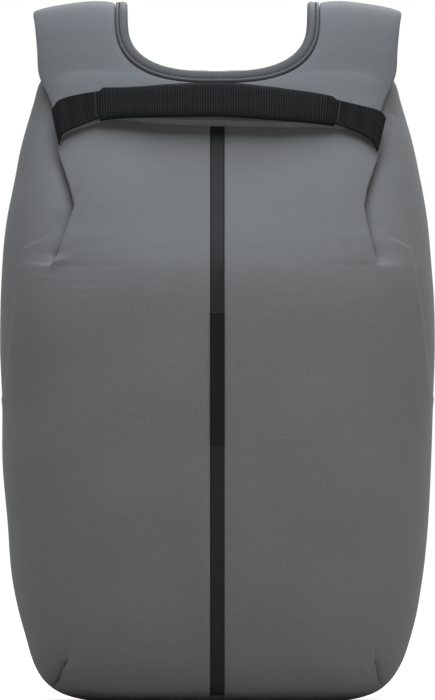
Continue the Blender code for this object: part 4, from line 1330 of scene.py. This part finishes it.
def zigzag(at):
    """Starts and ends of a zigzag seam across the handle at a share of its span."""
    swing = ZIGZAG_SWING / (HANDLE_SPAN / 2)
    height = WEBBING_THICKNESS + ZIGZAG_LIFT
    sides = []
    for start in (at - swing, at + swing):
        points, out = handle_band(start, start + 0.001, 2, ZIGZAG_CORNERS)
        sides.append(points[0] + out[0] * height)
    corner = np.where(np.arange(ZIGZAG_CORNERS)[:, None] % 2 == 0, sides[0], sides[1])[1:-1]
    return corner[:-1], corner[1:]


def handle_stitches():
    """The zigzag seams just outside both ends of the sleeve, one row at each."""
    place = GRIP_LENGTH / HANDLE_SPAN + ZIGZAG_PAST_SLEEVE
    return sewn([zigzag(-place), zigzag(place)], HANDLE_THREAD)


def panel_half(height):
    """Half-width of the back panel, a little inside the body's back edge."""
    return body_size(height)[0] * (1 - SIDE_TUCK) - 0.5 * PANEL_INSET


def panel_back(x, height):
    """How far the back panel stands behind the opening: two long pads, thin at the edges and between."""
    low, high = PANEL_INSET, BODY_HEIGHT - PANEL_INSET
    across = np.clip(np.abs(x) / panel_half(height), 0, 1)
    up = np.clip(np.abs(2 * (height - low) / (high - low) - 1), 0, 1)
    round_off = (1 - across**6) * (1 - up**10)
    valley = 1 - VALLEY_SINK * np.exp(-((x / (VALLEY_REACH * BODY_WIDTH)) ** 4))
    return GAP + PANEL_EDGE + (PANEL_THICKNESS - PANEL_EDGE) * round_off * valley


def padded_back():
    """The back panel: its pads' face, rounded at the rim and sewn inside it, over a flat back."""
    turn = np.linspace(0, np.pi, 190)[:, None]
    z = PANEL_INSET + (BODY_HEIGHT - 2 * PANEL_INSET) * (0.5 - 0.5 * np.cos(turn))
    across = np.sin(np.linspace(-np.pi / 2, np.pi / 2, 150))[None, :]
    half = panel_half(z)
    x = half * across
    z = z + 0 * x
    rim = np.minimum(half * (1 - np.abs(across)), np.minimum(z - PANEL_INSET, BODY_HEIGHT - PANEL_INSET - z))
    round_off = rounded(rim, PANEL_ROUND, LEAST_EDGE)
    seam = PANEL_SEAM * np.exp(-(((rim - PANEL_SEAM_AT) / PANEL_SEAM) ** 2))
    y = GAP + (panel_back(x, z) - GAP) * (0.35 + 0.65 * round_off) - seam
    return slab(np.stack([x, y, z], axis=2), np.stack([x, GAP + 0 * x, z], axis=2))


def strap_point(side, share, across, lift):
    """A point of a shoulder strap, at shares of its length, its width from the inner edge and its thickness.

    Down its length the strap narrows in an S curve and swells evenly from the yoke's thickness to its own.
    """
    start = SEAM_RUN - SEAM_TUCK
    run = start + (STRAP_RUN - start) * share
    ease = step(0, STRAP_NARROWS, share)
    inner = NECK_WIDTH / 2 * (1 - ease) + (STRAP_MIDDLE - STRAP_WIDTH / 2) * ease
    outer = (YOKE_SPREAD / 2 - WING_TUCK) * (1 - ease) + (STRAP_MIDDLE + STRAP_WIDTH / 2) * ease
    swell = np.clip(share / STRAP_SWELLS, 0, 1)
    thick = YOKE_THICKNESS * (1 - swell) + STRAP_THICKNESS * swell
    x = side * (inner * (1 - across) + outer * across)
    return lifted(x, run, LAYER_GAP + thick * lift)


def strap_padding(wide):
    """The share of a strap's thickness at a share of its half-width: full, then a thin flat edge."""
    return 0.34 + 0.66 * (1 - step(STRAP_FLAT_FROM, STRAP_FLAT_TO, np.abs(wide)))


def padded_strap(side):
    """A strap with a crowned middle and a flat sewn edge: squared-ellipse rings along the strap."""
    share = np.linspace(0, 1, 260)[:, None]
    turn = np.linspace(0, 2 * np.pi, 56, endpoint=False)[None, :]
    wide = signed_power(np.cos(turn), 0.7)
    groove = 1 - GROOVE_SINK * np.exp(-(((np.abs(wide) - GROOVE_AT) / GROOVE_REACH) ** 2))
    end = 0.55 + 0.45 * rounded(1 - share, STRAP_END_ROUND)
    high = signed_power(np.sin(turn), 0.55) * strap_padding(wide) * groove * end
    return tube(strap_point(side, share, 0.5 + 0.5 * wide + 0 * share, 0.5 + 0.5 * high))


def strap_stitches(side, sizes):
    """Two rows of stitches along a strap's outer face, sunk a little into its flat edges."""
    share = np.linspace(0.03, 0.99, 500)
    pairs = []
    for across in STITCH_ROWS:
        thickness = 0.5 + 0.5 * strap_padding(2 * across - 1)
        path = strap_point(side, share, np.full(500, across), np.full(500, 0.96 * thickness))
        pairs.append(dashes(path, sizes.strap_stitch_pitch))
    return sewn(pairs, STRAP_THREAD)


def anchor_middle():
    """How far the anchors stand from the middle of the bag."""
    return float(panel_half(ANCHOR_BOTTOM + ANCHOR_HEIGHT / 2)) - ANCHOR_INSET


def webbing_tab(side, sizes):
    """The tab that holds the lower webbing, woven and rounded at its edges."""
    half = STRAP_WEBBING_WIDTH / 2 + ANCHOR_OVERHANG
    middle = side * anchor_middle()
    top = ANCHOR_BOTTOM + ANCHOR_HEIGHT
    x, z = np.meshgrid(middle + half * np.linspace(-1, 1, 31), np.linspace(ANCHOR_BOTTOM, top, 70))
    rim = np.minimum(half - np.abs(x - middle), np.minimum(z - ANCHOR_BOTTOM, top - z))
    round_off = rounded(rim, ANCHOR_ROUND, LEAST_EDGE)
    y = panel_back(x, z) + GAP
    face = y + ANCHOR_THICKNESS * (0.5 + 0.5 * round_off) + rib_wave(z, sizes) * round_off
    return slab(np.stack([x, face, z], axis=2), np.stack([x, y, z], axis=2))


def tab_stitches(side):
    """A sewn box with its two diagonals on a webbing tab."""
    half, low = BOX_HALF, ANCHOR_BOTTOM + BOX_INSET
    high = ANCHOR_BOTTOM + ANCHOR_HEIGHT - BOX_INSET
    corners = np.array([(-half, low), (half, low), (half, high), (-half, high), (-half, low), (half, high)])
    other = np.array([(half, low), (-half, high)])
    pairs = []
    for line in [corners[i : i + 2] for i in range(5)] + [other]:
        flat = line[0] + (line[1] - line[0]) * np.linspace(0, 1, 60)[:, None]
        x = side * anchor_middle() + flat[:, 0]
        y = panel_back(x, flat[:, 1]) + GAP + ANCHOR_THICKNESS + 0.0001
        pairs.append(dashes(np.column_stack([x, y, flat[:, 1]]), BOX_PITCH, 0.7))
    return sewn(pairs, BOX_THREAD)


def strap_foot(side):
    """The middle of the strap's lower face, and the way the strap runs there."""
    x, small = np.array(side * STRAP_MIDDLE), 0.002
    foot = lifted(x, np.array(STRAP_RUN), np.array(LAYER_GAP + STRAP_THICKNESS / 2))
    return foot, unit(seat(x, np.array(STRAP_RUN + small)) - seat(x, np.array(STRAP_RUN - small)))


def lower_webbing(side, sizes):
    """The lower webbing, from its tab up to the adjuster with a little slack."""
    strap_end, heading = strap_foot(side)
    top = strap_end + heading * (ADJUSTER_HEIGHT + 2 * GAP)
    low = ANCHOR_BOTTOM + ANCHOR_HEIGHT + GAP
    middle = anchor_middle()
    foot_y = float(panel_back(np.array(middle), np.array(low))) + GAP + ANCHOR_THICKNESS / 2
    foot = np.array([side * middle, foot_y, low])
    run = top - foot
    path = through([foot, foot + run * SLACK_LOW, foot + run * SLACK_HIGH, top - heading * GAP, top], 420)
    sideways = np.array([1.0, 0, 0])
    square = unit(np.cross(np.gradient(path, axis=0), sideways))
    across = np.linspace(-1, 1, BAND_COLUMNS)
    points = path[:, None] + sideways * across[None, :, None] * STRAP_WEBBING_WIDTH / 2
    thick = WEBBING_THICKNESS / 2 + ribbed(points, sizes)
    return slab(points + square[:, None] * thick[..., None], points - square[:, None] * thick[..., None])


class BACKPACK_OT_body(bpy.types.Operator):
    """Make the padded body"""

    bl_idname = "backpack.body"
    bl_label = "Body"

    def execute(self, context):
        shape = padded_body(context.scene.backpack_sizes)
        add_piece("padded_body", shape, "body_cloth", ["main_shell"])
        return {"FINISHED"}


class BACKPACK_OT_back(bpy.types.Operator):
    """Make the padded back panel"""

    bl_idname = "backpack.back"
    bl_label = "Back Panel"

    def execute(self, context):
        add_piece("padded_back", padded_back(), "panel_mesh", ["back_panel"])
        return {"FINISHED"}


class BACKPACK_OT_strip(bpy.types.Operator):
    """Make the strip down the front and its bare label"""

    bl_idname = "backpack.strip"
    bl_label = "Strip and Label"

    def execute(self, context):
        low, high = STRIP_LOW * BODY_HEIGHT, STRIP_HIGH * BODY_HEIGHT
        strip = front_band(low, high, -STRIP_THICKNESS, 0.0, STRIP_ROUND)
        low, high = LABEL_MIDDLE - LABEL_LENGTH / 2, LABEL_MIDDLE + LABEL_LENGTH / 2
        label = front_band(low, high, GAP, LABEL_THICKNESS, LABEL_ROUND)
        add_piece("front_strip", strip, "coated_strip", ["centre_strip"])
        add_piece("bare_label", label, "label", ["label_tab"])
        return {"FINISHED"}


class BACKPACK_OT_yoke(bpy.types.Operator):
    """Make the yoke, the rolled edge round the neck and its stitches"""

    bl_idname = "backpack.yoke"
    bl_label = "Yoke and Neck"

    def execute(self, context):
        sizes = context.scene.backpack_sizes
        add_piece("padded_yoke", padded_yoke(sizes), "yoke_cloth", ["yoke"])
        add_piece("rolled_neck", neck_edge(), "binding_cloth", ["neck_binding"])
        add_piece("neck_stitches", neck_stitches(sizes), "thread")
        return {"FINISHED"}


class BACKPACK_OT_handle(bpy.types.Operator):
    """Make the handle's webbing, its sleeve and its zigzag seams"""

    bl_idname = "backpack.handle"
    bl_label = "Handle"

    def execute(self, context):
        sizes = context.scene.backpack_sizes
        add_piece("webbing_band", webbing_band(sizes), "webbing", ["handle_webbing"])
        add_piece("grip_sleeve", grip_sleeve(sizes), "webbing", ["handle_grip"])
        add_piece("handle_stitches", handle_stitches(), "black_thread")
        return {"FINISHED"}


class BACKPACK_OT_straps(bpy.types.Operator):
    """Make the shoulder straps, their lower webbing and the webbing's tabs"""

    bl_idname = "backpack.straps"
    bl_label = "Straps"

    def execute(self, context):
        sizes = context.scene.backpack_sizes
        for side, name in ((-1, "left"), (1, "right")):
            strap, band, anchor = "shoulder_strap_" + name, "strap_webbing_" + name, "webbing_anchor_" + name
            add_piece("padded_strap_" + name, padded_strap(side), "strap_cloth", [strap])
            add_piece("strap_stitches_" + name, strap_stitches(side, sizes), "thread")
            add_piece("lower_webbing_" + name, lower_webbing(side, sizes), "webbing", [band])
            add_piece("webbing_tab_" + name, webbing_tab(side, sizes), "webbing", [anchor])
            add_piece("tab_stitches_" + name, tab_stitches(side), "black_thread")
        return {"FINISHED"}


class BACKPACK_OT_adjusters(bpy.types.Operator):
    """Give the plain buckles their moulded plastic"""

    bl_idname = "backpack.adjusters"
    bl_label = "Adjusters"

    def execute(self, context):
        for name in ("adjuster_left", "adjuster_right"):
            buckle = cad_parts[name]
            buckle.data.materials.clear()
            buckle.data.materials.append(material("plastic"))
        return {"FINISHED"}


def area_light(name, place, size, power, colour):
    """A rectangular light at a place, turned to the middle of the bag."""
    data = bpy.data.lights.new(name, "AREA")
    data.shape = "RECTANGLE"
    data.size, data.size_y = size
    data.energy = power
    data.color = colour
    light = bpy.data.objects.new(name, data)
    bpy.context.scene.collection.objects.link(light)
    light.location = place
    aim = np.array([0, 0, BODY_HEIGHT / 2]) - np.array(place)
    light.rotation_euler = (np.arctan2(np.hypot(aim[0], aim[1]), -aim[2]), 0, np.arctan2(-aim[0], aim[1]))


def studio_world(strength):
    """A white surround for the camera, and an even dim light for everything else."""
    world = bpy.data.worlds.new("Studio")
    world.use_nodes = True
    tree = world.node_tree
    tree.nodes.clear()
    seen = new_node(tree, "ShaderNodeBackground", None, {"Color": (1, 1, 1, 1), "Strength": 1.0})
    lit = new_node(tree, "ShaderNodeBackground", None, {"Color": (0.96, 0.98, 1, 1), "Strength": strength})
    ray = new_node(tree, "ShaderNodeLightPath")
    inputs = {0: ray.outputs["Is Camera Ray"], 1: lit.outputs[0], 2: seen.outputs[0]}
    mix = new_node(tree, "ShaderNodeMixShader", None, inputs)
    new_node(tree, "ShaderNodeOutputWorld", None, {"Surface": mix.outputs[0]})
    return world


def floor_material():
    """A pale floor with a painted glow: white far off, dimmer near the bag so that its shadow shows, and dull
    to other rays.
    """
    pale = bpy.data.materials.new("studio_floor")
    pale.use_nodes = True
    tree = pale.node_tree
    tree.nodes.clear()
    place = new_node(tree, "ShaderNodeTexCoord").outputs["Object"]
    away = new_node(tree, "ShaderNodeVectorMath", {"operation": "LENGTH"}, {0: place}).outputs["Value"]
    inputs = {"Value": away, "From Min": GLOW_FROM, "From Max": GLOW_TO, "To Min": GLOW_NEAR, "To Max": 1.0}
    fade = new_node(tree, "ShaderNodeMapRange", {"interpolation_type": "SMOOTHSTEP"}, inputs).outputs[0]
    glow = new_node(tree, "ShaderNodeEmission", None, {"Color": (1, 1, 1, 1), "Strength": fade})
    matt = new_node(tree, "ShaderNodeBsdfDiffuse", None, {"Color": (0.55, 0.55, 0.55, 1)})
    dull = new_node(tree, "ShaderNodeBsdfDiffuse", None, {"Color": (0.54, 0.52, 0.49, 1)})
    shown = new_node(tree, "ShaderNodeAddShader", None, {0: glow.outputs[0], 1: matt.outputs[0]})
    ray = new_node(tree, "ShaderNodeLightPath")
    inputs = {0: ray.outputs["Is Camera Ray"], 1: dull.outputs[0], 2: shown.outputs[0]}
    mix = new_node(tree, "ShaderNodeMixShader", None, inputs)
    new_node(tree, "ShaderNodeOutputMaterial", None, {"Surface": mix.outputs[0]})
    return pale


def studio_floor():
    """A round floor just under the bag: one flat face with many sides."""
    turn = np.linspace(0, 2 * np.pi, FLOOR_SIDES, endpoint=False)
    down = np.full(FLOOR_SIDES, -FLOOR_DROP)
    rim = np.column_stack([FLOOR_RADIUS * np.cos(turn), FLOOR_RADIUS * np.sin(turn), down])
    mesh = bpy.data.meshes.new("studio_floor")
    mesh.from_pydata(rim.tolist(), [], [tuple(range(FLOOR_SIDES))])
    mesh.materials.append(floor_material())
    floor = bpy.data.objects.new("studio_floor", mesh)
    bpy.context.scene.collection.objects.link(floor)


class BACKPACK_OT_stage(bpy.types.Operator):
    """Make the floor, the lights, the surround and the camera"""

    bl_idname = "backpack.stage"
    bl_label = "Studio"

    def execute(self, context):
        scene = context.scene
        studio = scene.backpack_studio
        scene.view_settings.view_transform = "Standard"
        scene.world = studio_world(studio.ambient)
        studio_floor()
        for name, place, size, power, colour in LIGHTS:
            area_light(name, place, size, getattr(studio, power), colour)
        data = bpy.data.cameras.new("front_camera")
        data.sensor_width = SENSOR_WIDTH
        data.lens = data.sensor_width * studio.camera_distance / studio.framed_height
        data.clip_end = 100.0
        camera = bpy.data.objects.new("front_camera", data)
        scene.collection.objects.link(camera)
        camera.location = (CAMERA_ASIDE, -studio.camera_distance, studio.framed_height / 2)
        camera.rotation_euler = (np.pi / 2, 0, 0)
        scene.camera = camera
        return {"FINISHED"}


OPERATORS = (
    BACKPACK_OT_stage,
    BACKPACK_OT_body,
    BACKPACK_OT_back,
    BACKPACK_OT_strip,
    BACKPACK_OT_yoke,
    BACKPACK_OT_handle,
    BACKPACK_OT_straps,
    BACKPACK_OT_adjusters,
)


class BACKPACK_PT_panel(bpy.types.Panel):
    """The backpack's operators, sizes, colours and studio"""

    bl_idname = "BACKPACK_PT_panel"
    bl_label = "Backpack"
    bl_space_type = "VIEW_3D"
    bl_region_type = "UI"
    bl_category = "Backpack"

    def draw(self, context):
        scene = context.scene
        for operator in OPERATORS:
            self.layout.operator(operator.bl_idname)
        for group in (scene.backpack_sizes, scene.backpack_colours, scene.backpack_studio):
            box = self.layout.box()
            for name in group.__annotations__:
                box.prop(group, name)


CLASSES = (BackpackSizes, BackpackColours, BackpackStudio, *OPERATORS, BACKPACK_PT_panel)


def register():
    for item in CLASSES:
        bpy.utils.register_class(item)
    bpy.types.Scene.backpack_sizes = bpy.props.PointerProperty(type=BackpackSizes)
    bpy.types.Scene.backpack_colours = bpy.props.PointerProperty(type=BackpackColours)
    bpy.types.Scene.backpack_studio = bpy.props.PointerProperty(type=BackpackStudio)


def unregister():
    del bpy.types.Scene.backpack_studio
    del bpy.types.Scene.backpack_colours
    del bpy.types.Scene.backpack_sizes
    for item in reversed(CLASSES):
        bpy.utils.unregister_class(item)


def main():
    """Makes the stage first and then every piece of the bag."""
    register()
    bpy.ops.backpack.stage()
    bpy.ops.backpack.body()
    bpy.ops.backpack.back()
    bpy.ops.backpack.strip()
    bpy.ops.backpack.yoke()
    bpy.ops.backpack.handle()
    bpy.ops.backpack.straps()
    bpy.ops.backpack.adjusters()


if __name__ == "__main__":
    main()
